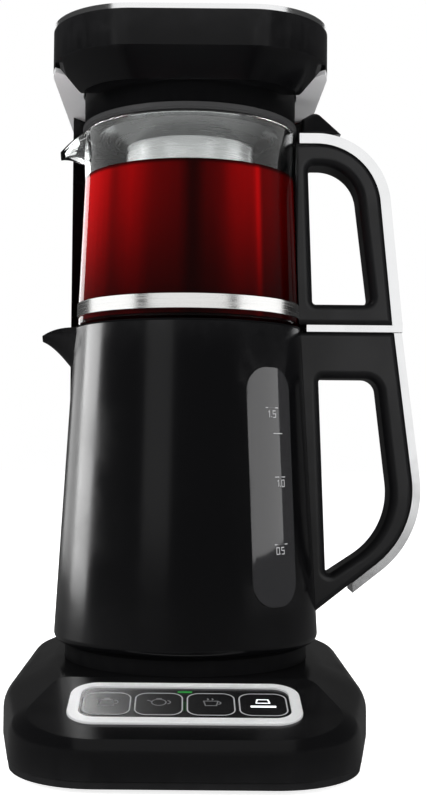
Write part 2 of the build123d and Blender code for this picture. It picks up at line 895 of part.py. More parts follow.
# ---- Head ----
def head_plan():
    """Plan of the head: wide round front corners and smaller back ones."""
    return mirrored_plan(
        (head_half_width, head_front_y, head_front_corner),
        (head_half_width, head_back_y, head_back_corner),
    )


def chin_plan():
    """Plan of the chin's lower edge."""
    return mirrored_plan(
        (chin_half_width, chin_front_y, chin_corner),
        (chin_half_width, head_back_y - 20, head_back_corner - 12),
    )


def behind_chin():
    """Plan of all that lies behind the chin's two ends."""
    side_y = chin_end_y - chin_step * 1.2
    return mirrored_plan(
        (chin_half_width, chin_end_y, 0),
        (head_half_width + 2, side_y - 2.4, 0),
        (head_half_width + 2, head_back_y + 2, 0),
    )


def make_head_shell():
    """Head casing, open above and below, with the sloping chin under its front."""
    wall = head_plan() - offset(head_plan(), -head_wall)
    walls = prism(wall, head_crease_z, head_top_z)
    walls += prism(wall & behind_chin(), head_floor_top_z, head_crease_z)
    chin = loft([Pos(0, 0, chin_z) * chin_plan(), Pos(0, 0, head_crease_z) * head_plan()], ruled=True)
    chin -= prism(behind_chin(), chin_z - 1, head_crease_z + 1)
    chin -= disc(drum_radius + drum_gap, chin_z - 1, head_crease_z + 1)
    chin -= disc(drum_radius + drum_lip + drum_gap, head_floor_top_z, head_crease_z + 1)
    return walls + chin


def make_head_floor():
    """Pale underside of the head, with the drum's round opening and the tower's passage."""
    region = head_plan() & behind_chin()
    region = offset(region, -cover_gap / 2)
    floor = prism(region, head_floor_z, head_floor_top_z)
    floor -= disc(drum_radius + drum_gap, head_floor_z - 1, head_floor_top_z + 1)
    passage = offset(tower_plan(), -tower_wall - 2)
    return floor - prism(passage, head_floor_z - 1, head_floor_top_z + 1)


def make_head_trim():
    """Bright line round the top edge of the head."""
    return prism(head_plan() - offset(head_plan(), -head_trim_width), head_top_z, trim_top_z)


def make_head_cover():
    """Top cover inside the bright line, with a rim down into the casing."""
    top = prism(offset(head_plan(), -head_trim_width - slide_gap), head_top_z, trim_top_z - 0.4)
    outer = offset(head_plan(), -head_wall - cover_gap)
    rim = prism(outer - offset(outer, -head_rib), head_top_z - 4, head_top_z)
    return top + rim


# ---- Floating brew cover ----
def make_cover_drum():
    """Drum that hangs by its lip on the head's floor and rises with the pot."""
    inner = drum_radius - drum_wall
    return turned(
        (inner, drum_bottom_z),
        (drum_radius, drum_bottom_z),
        (drum_radius, drum_top_z),
        (drum_radius + drum_lip, drum_top_z),
        (drum_radius + drum_lip, drum_top_z + drum_lip_thickness),
        (inner, drum_top_z + drum_lip_thickness),
        (inner, spray_z + spray_thickness),
        (inner - 1.5, spray_z + spray_thickness),
        (inner - 1.5, spray_z),
        (inner, spray_z),
    )


def make_cover_seal():
    """Soft ring under the drum, just above the pot's rim."""
    return turned(
        (seal_inner_radius, seal_low_z + 1.2),
        (seal_inner_radius + 2.5, seal_low_z),
        (seal_radius - 1.2, seal_low_z),
        (seal_radius, seal_low_z + 1.2),
        (seal_radius, drum_bottom_z),
        (seal_inner_radius, drum_bottom_z),
    )


def make_spray_plate():
    """Drip plate in the drum, with rings of six-sided holes round the middle."""
    radius = drum_radius - drum_wall - 1.6
    plate = disc(radius, spray_z, spray_z + spray_thickness)
    holes = []
    for row in range(1, spray_rows + 1):
        for i in range(6 * row):
            place = Rot(0, 0, i * 60 / row) * Pos(row * spray_pitch, 0)
            holes.append(place * RegularPolygon(spray_hole, 6))
    return plate - prism(Sketch() + holes, spray_z - 1, spray_z + 3)


# ---- Kettle ----
def window_arc(z_low, z_high, inner, outer, half_angle_deg):
    """Upright strip of a cone wall, between two distances in from the kettle's face."""
    low_radius, high_radius = kettle_radius(z_low), kettle_radius(z_high)
    section = make_face(
        Polyline(
            (low_radius - inner, 0, z_low),
            (low_radius + outer, 0, z_low),
            (high_radius + outer, 0, z_high),
            (high_radius - inner, 0, z_high),
            close=True,
        )
    )
    strip = revolve(section, Axis.Z, 2 * half_angle_deg)
    return Rot(0, 0, window_angle_deg - half_angle_deg) * strip


def window_form(margin):
    """Plan-free cutter with the window's long rounded outline, seen from its own side."""
    width = window_width + 2 * margin
    height = window_high_z - window_low_z + 2 * margin
    middle = (window_high_z + window_low_z) / 2
    face = RectangleRounded(width, height, window_width * 0.42)
    bar = extrude(Plane.YZ * face, kettle_foot_radius + 20)
    return Rot(0, 0, window_angle_deg) * Pos(0, 0, middle) * bar


def beak(root_x, tip_x, stations, inset):
    """Pouring beak towards -X, from (share of reach, half width, top, low) stations."""
    sections = []
    for share, half, top, low in stations:
        frame = Plane((root_x + (tip_x - root_x) * share, 0, 0), x_dir=(0, 1, 0), z_dir=(1, 0, 0))
        side, bottom = half - inset, low + inset
        bilge, bilge_z = side * 0.62, bottom + (top - bottom) * 0.3
        curve = Spline((-side, top), (-bilge, bilge_z), (0, bottom), (bilge, bilge_z), (side, top))
        sections.append(frame * make_face(curve + Line((side, top), (-side, top))))
    return loft(sections)


def spout_form(inset):
    """Solid of the kettle's beak, thinned by the inset."""
    root_x = -kettle_top_radius + 8
    tip_x = -spout_tip_x + inset * 1.5
    top = kettle_top_z - 0.4
    stations = (
        (0, spout_half_width + 3, top, spout_root_z - 2),
        (0.33, spout_half_width * 0.82, top, spout_root_z + 8),
        (0.66, spout_half_width * 0.5, top - 0.6, spout_root_z + 18),
        (1, 3.4, spout_tip_z + 1.6, spout_tip_z - 1.6),
    )
    return beak(root_x, tip_x, stations, inset)


def kettle_cone(inset, low=kettle_foot_z, high=kettle_top_z):
    """Solid cone inside the kettle's face."""
    return turned(
        (0, low),
        (kettle_radius(low) - inset, low),
        (kettle_radius(high) - inset, high),
        (0, high),
    )


def make_kettle_shell():
    """Tapered body, open above and below, with the window and the pouring slot cut out."""
    outer = kettle_cone(0, high=kettle_top_z - 1)
    outer = fillet(outer.edges().sort_by(Axis.Z)[0], kettle_edge)
    shell = outer - kettle_cone(kettle_wall, kettle_foot_z - 1, kettle_top_z + 1)
    ledge_z = heater_z - cover_gap
    ledge_radius = kettle_radius(ledge_z) - kettle_wall
    shell += ring(ledge_radius + 0.5, ledge_radius - 4, ledge_z - 3, ledge_z)
    shell -= window_form(0.2)
    return shell - spout_form(spout_wall)


def make_kettle_collar():
    """Mouth ring under the pot, with a locating ridge on its rear half only."""
    low = kettle_top_z - collar_height
    outer_low = kettle_radius(low) - kettle_wall - 0.1
    outer_high = kettle_radius(kettle_top_z - 1) - kettle_wall - 0.1
    inner = outer_low - collar_width
    collar = turned(
        (inner + 3, low),
        (outer_low, low),
        (outer_high, kettle_top_z - 1),
        (kettle_radius(kettle_top_z - 1), kettle_top_z - 1),
        (kettle_radius(kettle_top_z), kettle_top_z),
        (inner, kettle_top_z),
        (inner, kettle_top_z - 2.5),
    )
    ridge_inner = pot_foot_radius + 0.4
    place = Pos(ridge_inner + ridge_width / 2, kettle_top_z + ridge_height / 2 - 0.4)
    ridge_face = place * Rectangle(ridge_width, ridge_height + 0.8)
    ridge = revolve(Plane.XZ * ridge_face, Axis.Z, ridge_arc_deg)
    collar += Rot(0, 0, 90 - ridge_arc_deg / 2) * ridge
    return collar - spout_form(spout_wall)


def make_kettle_spout():
    """Open-topped pouring beak on the left of the kettle."""
    mouth = outline(
        (-kettle_top_radius + 10, kettle_top_z + 3, 0),
        (-spout_tip_x - 3, kettle_top_z + 3, 0),
        (-spout_tip_x - 3, spout_tip_z + 0.2, 0),
        (-spout_tip_x * 0.9, kettle_top_z - 2.2, 6),
        (-kettle_top_radius + 10, kettle_top_z - 1.6, 0),
    )
    beak_wall = spout_form(0) - spout_form(spout_wall)
    lid = side_slab(mouth, 3 * spout_half_width) & spout_form(spout_wall * 0.5)
    return beak_wall - lid - kettle_cone(-0.1, kettle_foot_z, kettle_top_z + 5)


def make_gauge_window():
    """Clear level window that fills the slot in the body, a little proud of it."""
    strip = window_arc(window_low_z - 3, window_high_z + 3, window_wall, window_proud, window_spread_deg)
    return strip & window_form(0)


def make_kettle_foot():
    """Bottom cover of the kettle, with the openings for the connector and the valve."""
    radius = kettle_foot_radius - kettle_edge - 1.4
    foot = turned(
        (0, kettle_foot_z),
        (radius - 1, kettle_foot_z),
        (radius, kettle_foot_z + 1),
        (radius, kettle_foot_z + 5),
        (radius - 1.8, kettle_foot_z + 5),
        (radius - 1.8, kettle_foot_z + 2),
        (0, kettle_foot_z + 2),
    )
    foot -= disc(female_radius() + 0.2, 0, heater_z)
    return foot - disc(nozzle_radius + 2.2, 0, heater_z, y=nozzle_y)


def female_radius():
    """Outer radius of the kettle's half of the connector."""
    return connector_radius + 3.2


def make_kettle_connector():
    """Kettle half of the power connector: a cup over the dock's post, with pin and ring."""
    cup_top = connector_z + 5
    cup = disc(female_radius(), kettle_foot_z, cup_top)
    cup -= disc(connector_radius + 0.5, 0, connector_z + 0.6)
    half = contact_ring_thickness / 2
    ring_low = connector_z - ring_slot_depth + 2
    cup += ring(contact_ring_radius + half, contact_ring_radius - half, ring_low, connector_z + 1)
    cup += disc(1.6, connector_z - 4.5, connector_z + 1)
    tabs = block(-9, -6, -4, 4, cup_top, cup_top + 3) + block(6, 9, -4, 4, cup_top, cup_top + 3)
    flange = ring(female_radius() + 6, female_radius() - 1, kettle_foot_z + 2, kettle_foot_z + 4)
    return cup + tabs + flange


def make_heater_plate():
    """Steel floor of the kettle, with a pressed centre and a hole for the valve."""
    radius = kettle_radius(heater_z) - kettle_wall - 0.2
    plate = disc(radius, heater_z, heater_z + heater_thickness)
    return plate - disc(valve_radius() - 2, 0, kettle_top_z, y=nozzle_y)


def make_heater_coil():
    """Heating element: an open ring of tube under the plate, with two cold ends."""
    reach = 3 * coil_tube_radius
    gap = block(-coil_opening, coil_opening, -coil_radius - reach, -coil_radius + reach, -reach, reach)
    coil = Pos(0, 0, heater_z - coil_tube_radius) * (Torus(coil_radius, coil_tube_radius) - gap)
    for x in (-coil_opening - 1.5, coil_opening + 1.5):
        coil += disc(1.6, heater_z - coil_end_drop, heater_z - coil_tube_radius, x, -coil_radius)
    return coil


def make_thermostat():
    """Temperature sensor held under the middle of the heating plate."""
    body = disc(thermostat_radius, heater_z - 3, heater_z)
    return body + block(-8, 8, -5, 5, heater_z - 5, heater_z - 3)


def valve_radius():
    """Outer radius of the kettle's outlet valve."""
    return nozzle_radius + 1.8


def make_valve_seat():
    """Outlet valve body between the heating plate and the bottom cover."""
    top = heater_z + heater_thickness + 1.5
    body = ring(valve_radius(), 4, kettle_foot_z + 0.2, heater_z - 0.1, y=nozzle_y)
    neck = ring(valve_radius() - 2.2, 4, heater_z - 0.2, top, y=nozzle_y)
    bridge = Pos(0, nozzle_y, heater_z - 6) * Box(10, 2, 3) - disc(1.9, 0, heater_z, y=nozzle_y)
    return body + neck + bridge


def make_valve_stem():
    """Sprung poppet, held open by the dock's pin while the kettle stands on it."""
    low = kettle_foot_z + 2.3
    head_low = heater_z + heater_thickness + 1.5 + valve_travel + 0.2
    stem = disc(1.6, low, head_low + 1, y=nozzle_y)
    return stem + disc(5.4, head_low, head_low + 2, y=nozzle_y)


# ---- Handles ----
def soften(slab, radius):
    """Round the long edges of a slab on its front and back faces."""
    faces = slab.faces().sort_by(Axis.Y)
    return fillet(faces[0].edges() + faces[-1].edges(), radius)


def looped_slab(outer, loop):
    """Handle slab with room for the fingers, rounded outside and more so inside the loop."""
    slab = soften(side_slab(outer, handle_width), handle_round) - side_slab(loop, 2 * handle_width)
    faces = slab.faces().sort_by(Axis.Y)
    rims = faces[0].inner_wires()[0].edges() + faces[-1].inner_wires()[0].edges()
    return fillet(rims, grip_round)


def line_x(low, high, z):
    """X at a height on the straight line between two (x, z) points."""
    return low[0] + (z - low[1]) * (high[0] - low[0]) / (high[1] - low[1])


def screw_recess(x, z):
    """Pocket for a screw's head in the upright back of a handle."""
    return Pos(x, 0, z) * Rot(0, 90, 0) * Cylinder(screw_head_radius + 0.2, 2 * screw_head)


def screw_disc(x, z):
    """Head of a screw, sunk in its pocket."""
    return Pos(x - screw_head * 0.65, 0, z) * Rot(0, 90, 0) * Cylinder(screw_head_radius, screw_head * 0.7)


def kettle_handle_face(grow):
    """Outer side view of the kettle's handle, grown outwards by the trim's thickness."""
    back_x = kettle_top_radius - 4
    low_z = kettle_foot_z + kettle_arm_end - grow * 1.27
    return outline(
        (back_x, kettle_grip_top_z, 0),
        (kettle_top_radius + kettle_grip_reach + grow, kettle_grip_top_z, 0),
        (
            kettle_foot_radius + kettle_arm_reach + grow * 1.06,
            kettle_arm_z - grow * 0.44,
            kettle_arm_round + grow,
        ),
        (kettle_foot_radius - 5.5, low_z, 0),
        (back_x, low_z, 0),
    )


def kettle_loop():
    """Corners of the room for the fingers in the kettle's handle, each with its radius."""
    return (
        (kettle_top_radius + kettle_web, kettle_hole_top_z, 2),
        (kettle_top_radius + kettle_loop_reach, kettle_hole_top_z, 8),
        (kettle_foot_radius + kettle_loop_reach, kettle_arm_z, kettle_loop_round),
        (kettle_foot_radius + kettle_web_low, kettle_hole_low_z, 2),
    )


def make_kettle_handle():
    """Loop handle with a straight back along the kettle and a slanting lower arm."""
    handle = looped_slab(kettle_handle_face(0), outline(*kettle_loop()))
    for x, z in kettle_screw_places():
        handle -= screw_recess(x, z)
    return handle - kettle_cone(-0.05, kettle_foot_z - 8, kettle_top_z + 5)


def kettle_screw_places():
    """Places on the handle's straight back, inside its loop."""
    heights = (kettle_hole_top_z - kettle_screw_inset, kettle_hole_low_z + kettle_screw_inset)
    top, low = kettle_loop()[0], kettle_loop()[3]
    return [(line_x(low, top, z), z) for z in heights]


def make_kettle_trim():
    """Bright strip round the outside of the kettle's handle."""
    strip = kettle_handle_face(kettle_trim_thickness) - kettle_handle_face(slide_gap)
    end_x = kettle_foot_radius + kettle_trim_end
    strip -= outline((0, 0, 0), (end_x, 0, 0), (end_x, kettle_arm_z, 0), (0, kettle_arm_z, 0))
    return side_slab(strip, handle_width - 2 * trim_step)


def make_kettle_screws():
    """Two screws that hold the handle's back to the body, from inside its loop."""
    return [screw_disc(x, z) for x, z in kettle_screw_places()]


def teapot_handle_face(grow):
    """Outer side view of the teapot's handle, grown outwards by the trim's thickness."""
    back_x = pot_waist_radius - 1
    return outline(
        (back_x, pot_grip_top_z + grow, 0),
        (pot_rim_radius + pot_grip_reach + grow * 0.9, pot_grip_top_z + grow, pot_grip_round + grow),
        (pot_foot_radius + pot_grip_low_reach + grow, pot_grip_low_z, 0),
        (back_x, pot_grip_low_z, 0),
    )


def teapot_loop():
    """Corners of the room for the fingers in the teapot's handle, each with its radius."""
    return (
        (pot_rim_radius + pot_web, pot_hole_top_z, 3),
        (pot_rim_radius + pot_loop_reach, pot_hole_top_z, pot_loop_round),
        (pot_foot_radius + pot_loop_low_reach, pot_hole_low_z, 4),
        (pot_foot_radius + pot_web_low, pot_hole_low_z, 2),
    )


def teapot_screw_x():
    """Place of the screw on the handle's upright back."""
    return line_x(teapot_loop()[3], teapot_loop()[0], pot_screw_z)


def make_teapot_handle():
    """Loop handle clamped to the glass by its upright back."""
    handle = looped_slab(teapot_handle_face(0), outline(*teapot_loop()))
    handle -= screw_recess(teapot_screw_x(), pot_screw_z)
    return handle - pot_form(-0.15 - band_thickness, pot_bottom_z - 10, pot_rim_z + 10)


def make_teapot_trim():
    """Bright strip over the teapot's handle, ending in a bar below it."""
    strip = teapot_handle_face(pot_trim_thickness) - teapot_handle_face(slide_gap)
    bar_x = kettle_top_radius + bar_inset
    inner_x = pot_foot_radius + pot_grip_low_reach + 0.4
    outer_x = pot_foot_radius + pot_grip_low_reach + pot_trim_thickness
    bar = outline(
        (bar_x, bar_low_z, 0),
        (outer_x, bar_low_z, 0),
        (outer_x, bar_high_z + 2, 0),
        (inner_x, bar_high_z + 2, 0),
        (inner_x, bar_high_z, 0),
        (bar_x, bar_high_z, 0),
    )
    trim = side_slab(strip + bar, handle_width - 2 * trim_step)
    return trim - disc(seal_radius + trim_seal_gap, bar_low_z - 1, pot_rim_z + 10)


def make_thumb_rest():
    """Raised rest for the thumb on top of the teapot's handle."""
    low = pot_grip_top_z + pot_trim_thickness + slide_gap / 2
    start_x = seal_radius + trim_seal_gap + slide_gap
    hump = outline(
        (start_x, low, 0),
        (pot_rim_radius + thumb_rest_reach, low, 0),
        (pot_rim_radius + thumb_rest_peak, low + thumb_rest_height, 5),
        (start_x, low + thumb_rest_height * 0.63, 1.5),
    )
    return soften(side_slab(hump, handle_width - 4), 2)


def make_teapot_screw():
    """Screw that clamps the handle's back to the band."""
    return screw_disc(teapot_screw_x(), pot_screw_z)


# ---- Teapot ----
def pot_form(inset, low, high):
    """Solid inside the pot's outer face, between two heights."""
    foot, waist, rim = pot_foot_radius - inset, pot_waist_radius - inset, pot_rim_radius - inset
    points = [(0, low), (foot, low), (foot, band_high_z)]
    points += [(waist, pot_waist_z), (rim, pot_rim_z)]
    if high > pot_rim_z:
        points += [(rim, high)]
    return turned(*points, (0, high))


def lip_form(inset):
    """Solid of the glass pouring lip, thinned by the inset."""
    stations = (
        (0, lip_half_width + 2, pot_rim_z, pot_rim_z - lip_depth - 2),
        (0.4, lip_half_width * 0.8, pot_rim_z - 1.2, pot_rim_z - lip_depth + 1),
        (0.72, lip_half_width * 0.48, pot_rim_z - 4.2, lip_tip_z - 2.5),
        (1, 3.8, lip_tip_z + 1.4, lip_tip_z - 2.4),
    )
    return beak(-pot_rim_radius + 7, -lip_tip_x + inset * 1.5, stations, inset)


def make_teapot_glass():
    """Blown glass jug: a thin wall, a round foot and a drooping pouring lip."""
    body = pot_form(0, pot_bottom_z, pot_rim_z)
    body = fillet(body.edges().sort_by(Axis.Z)[0], 2.5)
    inside = pot_form(glass_wall, pot_bottom_z + glass_floor, pot_rim_z + 1)
    lip = lip_form(0) - pot_form(0.5, pot_bottom_z, pot_rim_z + 1)
    glass = body + lip - inside
    channel = lip_form(lip_wall)
    mouth = outline(
        (-pot_rim_radius + 9, pot_rim_z + 3, 0),
        (-lip_tip_x - 3, pot_rim_z + 3, 0),
        (-lip_tip_x - 3, lip_tip_z - 0.6, 0),
        (-lip_tip_x * 0.9, pot_rim_z - 4.6, 8),
        (-pot_rim_radius + 9, pot_rim_z - 1.5, 0),
    )
    return glass - channel - (side_slab(mouth, 3 * lip_half_width) & lip_form(lip_wall * 0.5))


def make_teapot_band():
    """Steel band round the pot above its foot."""
    inner = pot_foot_radius + slide_gap
    return ring(inner + band_thickness, inner, band_low_z, band_high_z)


def make_filter_basket():
    """Steel infuser: slotted cup, sloping shoulder and a flange that rests on the rim."""
    wall = basket_wall
    basket = turned(
        (0, basket_floor_z),
        (basket_radius, basket_floor_z),
        (basket_radius, basket_neck_z),
        (basket_shoulder_radius, flange_low_z),
        (pot_rim_radius - 0.4, flange_low_z),
        (pot_rim_radius - 0.4, flange_low_z + wall),
        (basket_shoulder_radius - 0.4, flange_low_z + wall),
        (basket_radius - wall, basket_neck_z + 0.3),
        (basket_radius - wall, basket_floor_z + wall),
        (0, basket_floor_z + wall),
    )
    for row in range(slot_rows):
        z = basket_floor_z + slot_low_rise + row * slot_pitch
        for i in range(slot_count // 2):
            slot = Pos(0, 0, z) * Box(2 * basket_radius + 4, slot_width, slot_height)
            bar = Rot(0, 0, i * 360 / slot_count) * (slot - disc(basket_radius - 3, -20, 400))
            basket -= bar
    for i in range(1, drip_rows + 1):
        for j in range(6 * i):
            place = Rot(0, 0, j * 60 / i) * Pos(i * drip_pitch, 0)
            basket -= place * disc(drip_hole_radius, basket_floor_z - 1, basket_floor_z + 2)
    return basket


def build_all():
    """Make each node's shape and write all the files."""
    single = {
        "base_cover": make_base_cover,
        "base_tray": make_base_tray,
        "dock_plate": make_dock_plate,
        "dock_connector": make_dock_connector,
        "dock_nozzle": make_dock_nozzle,
        "dock_seal": make_dock_seal,
        "panel_bezel": make_panel_bezel,
        "panel_plate": make_panel_plate,
        "ready_light": make_ready_light,
        "key_board": make_key_board,
        "power_board": make_power_board,
        "cord_gland": make_cord_gland,
        "pump_housing": make_pump_housing,
        "pump_rotor": make_pump_rotor,
        "pump_motor": make_pump_motor,
        "feed_tube": make_feed_tube,
        "riser_tube": make_riser_tube,
        "water_elbow": make_water_elbow,
        "tower_front": make_tower_front,
        "tower_back": make_tower_back,
        "head_shell": make_head_shell,
        "head_floor": make_head_floor,
        "head_trim": make_head_trim,
        "head_cover": make_head_cover,
        "cover_drum": make_cover_drum,
        "cover_seal": make_cover_seal,
        "spray_plate": make_spray_plate,
        "kettle_shell": make_kettle_shell,
        "kettle_collar": make_kettle_collar,
        "kettle_spout": make_kettle_spout,
        "gauge_window": make_gauge_window,
        "kettle_handle": make_kettle_handle,
        "kettle_trim": make_kettle_trim,
        "kettle_foot": make_kettle_foot,
        "kettle_connector": make_kettle_connector,
        "heater_plate": make_heater_plate,
        "heater_coil": make_heater_coil,
        "thermostat": make_thermostat,
        "valve_seat": make_valve_seat,
        "valve_stem": make_valve_stem,
        "teapot_glass": make_teapot_glass,
        "teapot_band": make_teapot_band,
        "teapot_handle": make_teapot_handle,
        "teapot_trim": make_teapot_trim,
        "thumb_rest": make_thumb_rest,
        "teapot_screw": make_teapot_screw,
        "filter_basket": make_filter_basket,
    }
    nodes = {node: [make()] for node, make in single.items()}
    groups = {
        "rubber_feet": make_rubber_feet,
        "base_screws": make_base_screws,
        "tower_screws": make_tower_screws,
        "kettle_screws": make_kettle_screws,
    }
    for node, make in groups.items():
        nodes[node] = make()
    for node, x in zip(("boil_key", "tea_key", "coffee_key", "warm_key"), key_places()):
        nodes[node] = [make_key(x)]
    save_all(nodes)


build_all()
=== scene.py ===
import json
from math import cos, pi, radians, sin

import bmesh
import bpy
from mathutils import Matrix, Vector


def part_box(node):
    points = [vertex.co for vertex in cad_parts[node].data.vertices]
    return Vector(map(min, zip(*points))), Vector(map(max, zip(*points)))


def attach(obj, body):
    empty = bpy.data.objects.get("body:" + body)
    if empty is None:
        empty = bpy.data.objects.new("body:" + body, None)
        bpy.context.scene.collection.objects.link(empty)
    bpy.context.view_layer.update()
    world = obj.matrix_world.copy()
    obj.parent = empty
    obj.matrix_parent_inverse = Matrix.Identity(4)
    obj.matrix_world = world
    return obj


# Looks of the automatic tea maker: a kettle on a base station, a glass teapot on the kettle and a
# head that drips into the teapot's filter. Metres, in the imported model's own frame.

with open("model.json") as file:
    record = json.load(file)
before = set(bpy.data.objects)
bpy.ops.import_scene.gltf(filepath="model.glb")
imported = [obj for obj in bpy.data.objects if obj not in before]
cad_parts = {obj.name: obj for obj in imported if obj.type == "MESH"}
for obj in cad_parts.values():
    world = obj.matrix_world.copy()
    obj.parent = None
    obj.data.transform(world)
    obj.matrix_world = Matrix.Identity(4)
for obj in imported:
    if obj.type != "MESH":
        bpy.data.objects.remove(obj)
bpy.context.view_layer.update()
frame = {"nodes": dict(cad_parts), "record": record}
nodes = frame["nodes"]
mm = 0.001

# ---- Measures read from the frame ----
band_low, band_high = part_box("teapot_band")
glass_low, glass_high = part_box("teapot_glass")
kettle_foot_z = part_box("kettle_shell")[0].z
axis_x = (band_low.x + band_high.x) / 2
axis_y = (band_low.y + band_high.y) / 2

# ---- Teapot and its tea ----
band_proud = 0.8 * mm
glass_wall = 2.2 * mm
glass_floor = 3.0 * mm
pot_foot_radius = (band_high.x - band_low.x) / 2 - band_proud
pot_waist_radius = 59.0 * mm
pot_waist_z = glass_low.z + 81.7 * mm
pot_rim_radius = 60.0 * mm
tea_level = glass_high.z - 24.5 * mm
tea_overlap = 0.04 * mm
tea_steps = 128
tea_sharp_deg = 50
meniscus_height = 0.7 * mm
meniscus_reach = 3 * mm
meniscus_bend = (0.6 * mm, 0.25 * mm)
meniscus_width = 1.8 * mm

# ---- Level window on the kettle ----
kettle_foot_radius = 73.5 * mm
kettle_top_radius = 63.6 * mm
kettle_top_z = 0.220
window_turn = radians(-49.0)
window_proud = 0.4 * mm
mark_line = 0.45 * mm
digit_width = 2.0 * mm
digit_height = 3.4 * mm
digit_gap = 1.4 * mm
digit_drop_mm = 1.6
digit_step = 1.35
dot_step = 0.5

# Level lines in millimetres: height, start and end to the right of the middle line, and number.
LEVEL_MARKS = (
    (103.9, -1, 9, "0.5"),
    (138.7, 1, 9, "1.0"),
    (161.4, 1, 8, ""),
    (174.8, -4, 5, "1.5"),
)
# Strokes of each character, in its own width and height.
DIGITS = {
    "0": [[(0, 0), (0, 1), (1, 1), (1, 0), (0, 0)]],
    "1": [[(0.2, 0.8), (0.6, 1), (0.6, 0)]],
    "5": [[(1, 1), (0, 1), (0, 0.55), (1, 0.55), (1, 0), (0, 0)]],
    ".": [[(0.0, 0.0), (0.0, 0.12)]],
}

# ---- Keys ----
panel_slope = radians(12.0)
key_top_depth = 1 * mm
key_face_length = 25 * mm
outline_inset = 1.1 * mm
outline_corner = 5.9 * mm
key_line = 0.6 * mm
symbol_rise_mm = 1
bar_half = 6 * mm
bar_drop = 2.2 * mm
bar_line = 1.7 * mm
print_lift = 0.02 * mm
print_depth = 0.05 * mm

# ---- Limits of the mesh helpers ----
on_axis = 1e-6
no_length = 1e-9
sharpest_mitre = 0.5


# ---- Mesh helpers ----
def new_piece(name, verts, faces, material, body, sharp_deg=35):
    """Closed mesh piece in its place, with smooth faces and sharp corners."""
    mesh = bpy.data.meshes.new(name)
    mesh.from_pydata([tuple(v) for v in verts], [], faces)
    work = bmesh.new()
    work.from_mesh(mesh)
    bmesh.ops.recalc_face_normals(work, faces=work.faces)
    for face in work.faces:
        face.smooth = True
    for edge in work.edges:
        if len(edge.link_faces) == 2 and edge.calc_face_angle(0) > radians(sharp_deg):
            edge.smooth = False
    work.to_mesh(mesh)
    work.free()
    mesh.materials.append(material)
    piece = bpy.data.objects.new(name, mesh)
    bpy.context.scene.collection.objects.link(piece)
    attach(piece, body)
    return piece


def turned_mesh(profile, steps):
    """Vertices and faces of a closed (radius, height) profile turned about the kettle's axis."""
    verts, rings = [], []
    for radius, z in profile:
        if radius < on_axis:
            rings.append([len(verts)] * steps)
            verts.append((axis_x, axis_y, z))
            continue
        rings.append(list(range(len(verts), len(verts) + steps)))
        for i in range(steps):
            turn = 2 * pi * i / steps
            verts.append((axis_x + radius * cos(turn), axis_y + radius * sin(turn), z))
    faces = []
    for low, high in zip(rings, rings[1:] + rings[:1]):
        for i in range(steps):
            corners = [low[i], low[(i + 1) % steps], high[(i + 1) % steps], high[i]]
            kept = [c for n, c in enumerate(corners) if c not in corners[:n]]
            if len(kept) > 2:
                faces.append(kept)
    return verts, faces


def tapered(z, low_z, high_z, low_radius, high_radius):
    """Radius at a height of a straight taper."""
    share = (z - low_z) / (high_z - low_z)
    return low_radius + (high_radius - low_radius) * share


def arc(cx, cy, radius, start_deg, end_deg, steps=10):
    """Points along an arc."""
    turns = [radians(start_deg + (end_deg - start_deg) * i / steps) for i in range(steps + 1)]
    return [(cx + radius * cos(t), cy + radius * sin(t)) for t in turns]


def rounded_loop(width, height, corner):
    """Closed loop of a rectangle with round corners."""
    x, y = width / 2 - corner, height / 2 - corner
    loop = []
    for cx, cy, start in ((x, y, 0), (-x, y, 90), (-x, -y, 180), (x, -y, 270)):
        loop += arc(cx, cy, corner, start, start + 90, 8)
    return loop


def ribbon(points, width, closed):
    """Left and right edges of a line of even width, mitred at its corners."""
    pairs = []
    count = len(points)
    for i, point in enumerate(points):
        before = points[i - 1] if i or closed else point
        after = points[(i + 1) % count] if i < count - 1 or closed else point
        into = Vector(point) - Vector(before)
        onward = Vector(after) - Vector(point)
        into = into.normalized() if into.length > no_length else onward.normalized()
        onward = onward.normalized() if onward.length > no_length else into
        mean = (into + onward).normalized()
        half = width / 2 / max(sharpest_mitre, mean.dot(onward))
        side = Vector((-mean.y, mean.x)) * half
        pairs.append((Vector(point) + side, Vector(point) - side))
    return pairs


def printed(name, lines, width, place, material, body):
    """Thin printed lines.

    Each line is (points, closed), and place maps (u, v, lift) to a point of the object.
    """
    verts, faces = [], []
    for points, closed in lines:
        pairs = ribbon(points, width, closed)
        start = len(verts)
        for left, right in pairs:
            for lift in (print_lift, print_lift + print_depth):
                verts.append(place(left.x, left.y, lift))
                verts.append(place(right.x, right.y, lift))
        count = len(pairs)
        for i in range(count if closed else count - 1):
            here = start + 4 * i
            there = start + 4 * ((i + 1) % count)
            faces += [(here, here + 1, there + 1, there)]
            faces += [(here + 2, there + 2, there + 3, here + 3)]
            faces += [(here, there, there + 2, here + 2)]
            faces += [(here + 1, here + 3, there + 3, there + 1)]
        if not closed:
            for end in (start, start + 4 * (count - 1)):
                faces.append((end, end + 2, end + 3, end + 1))
    return new_piece(name, verts, faces, material, body)


# ---- Shader helpers ----
# A Mix node's first, second and result socket for each kind of data.
MIX_SOCKETS = {"RGBA": (6, 7, 2), "FLOAT": (2, 3, 0)}


def feed(tree, value, socket):
    """Gives a socket a plain value or colour, or links another socket to it."""
    if isinstance(value, bpy.types.NodeSocket):
        tree.links.new(value, socket)
    elif socket.type == "RGBA":
        socket.default_value = (*value, 1)
    else:
        socket.default_value = value


def add(tree, kind, inputs=None, **settings):
    """New shader node with its settings and inputs."""
    node = tree.nodes.new("ShaderNode" + kind)
    for key, value in settings.items():
        setattr(node, key, value)
    for label, value in (inputs or {}).items():
        feed(tree, value, node.inputs[label])
    return node


def own_place(tree):
    """The object's own coordinates."""
    return add(tree, "TexCoord").outputs["Object"]


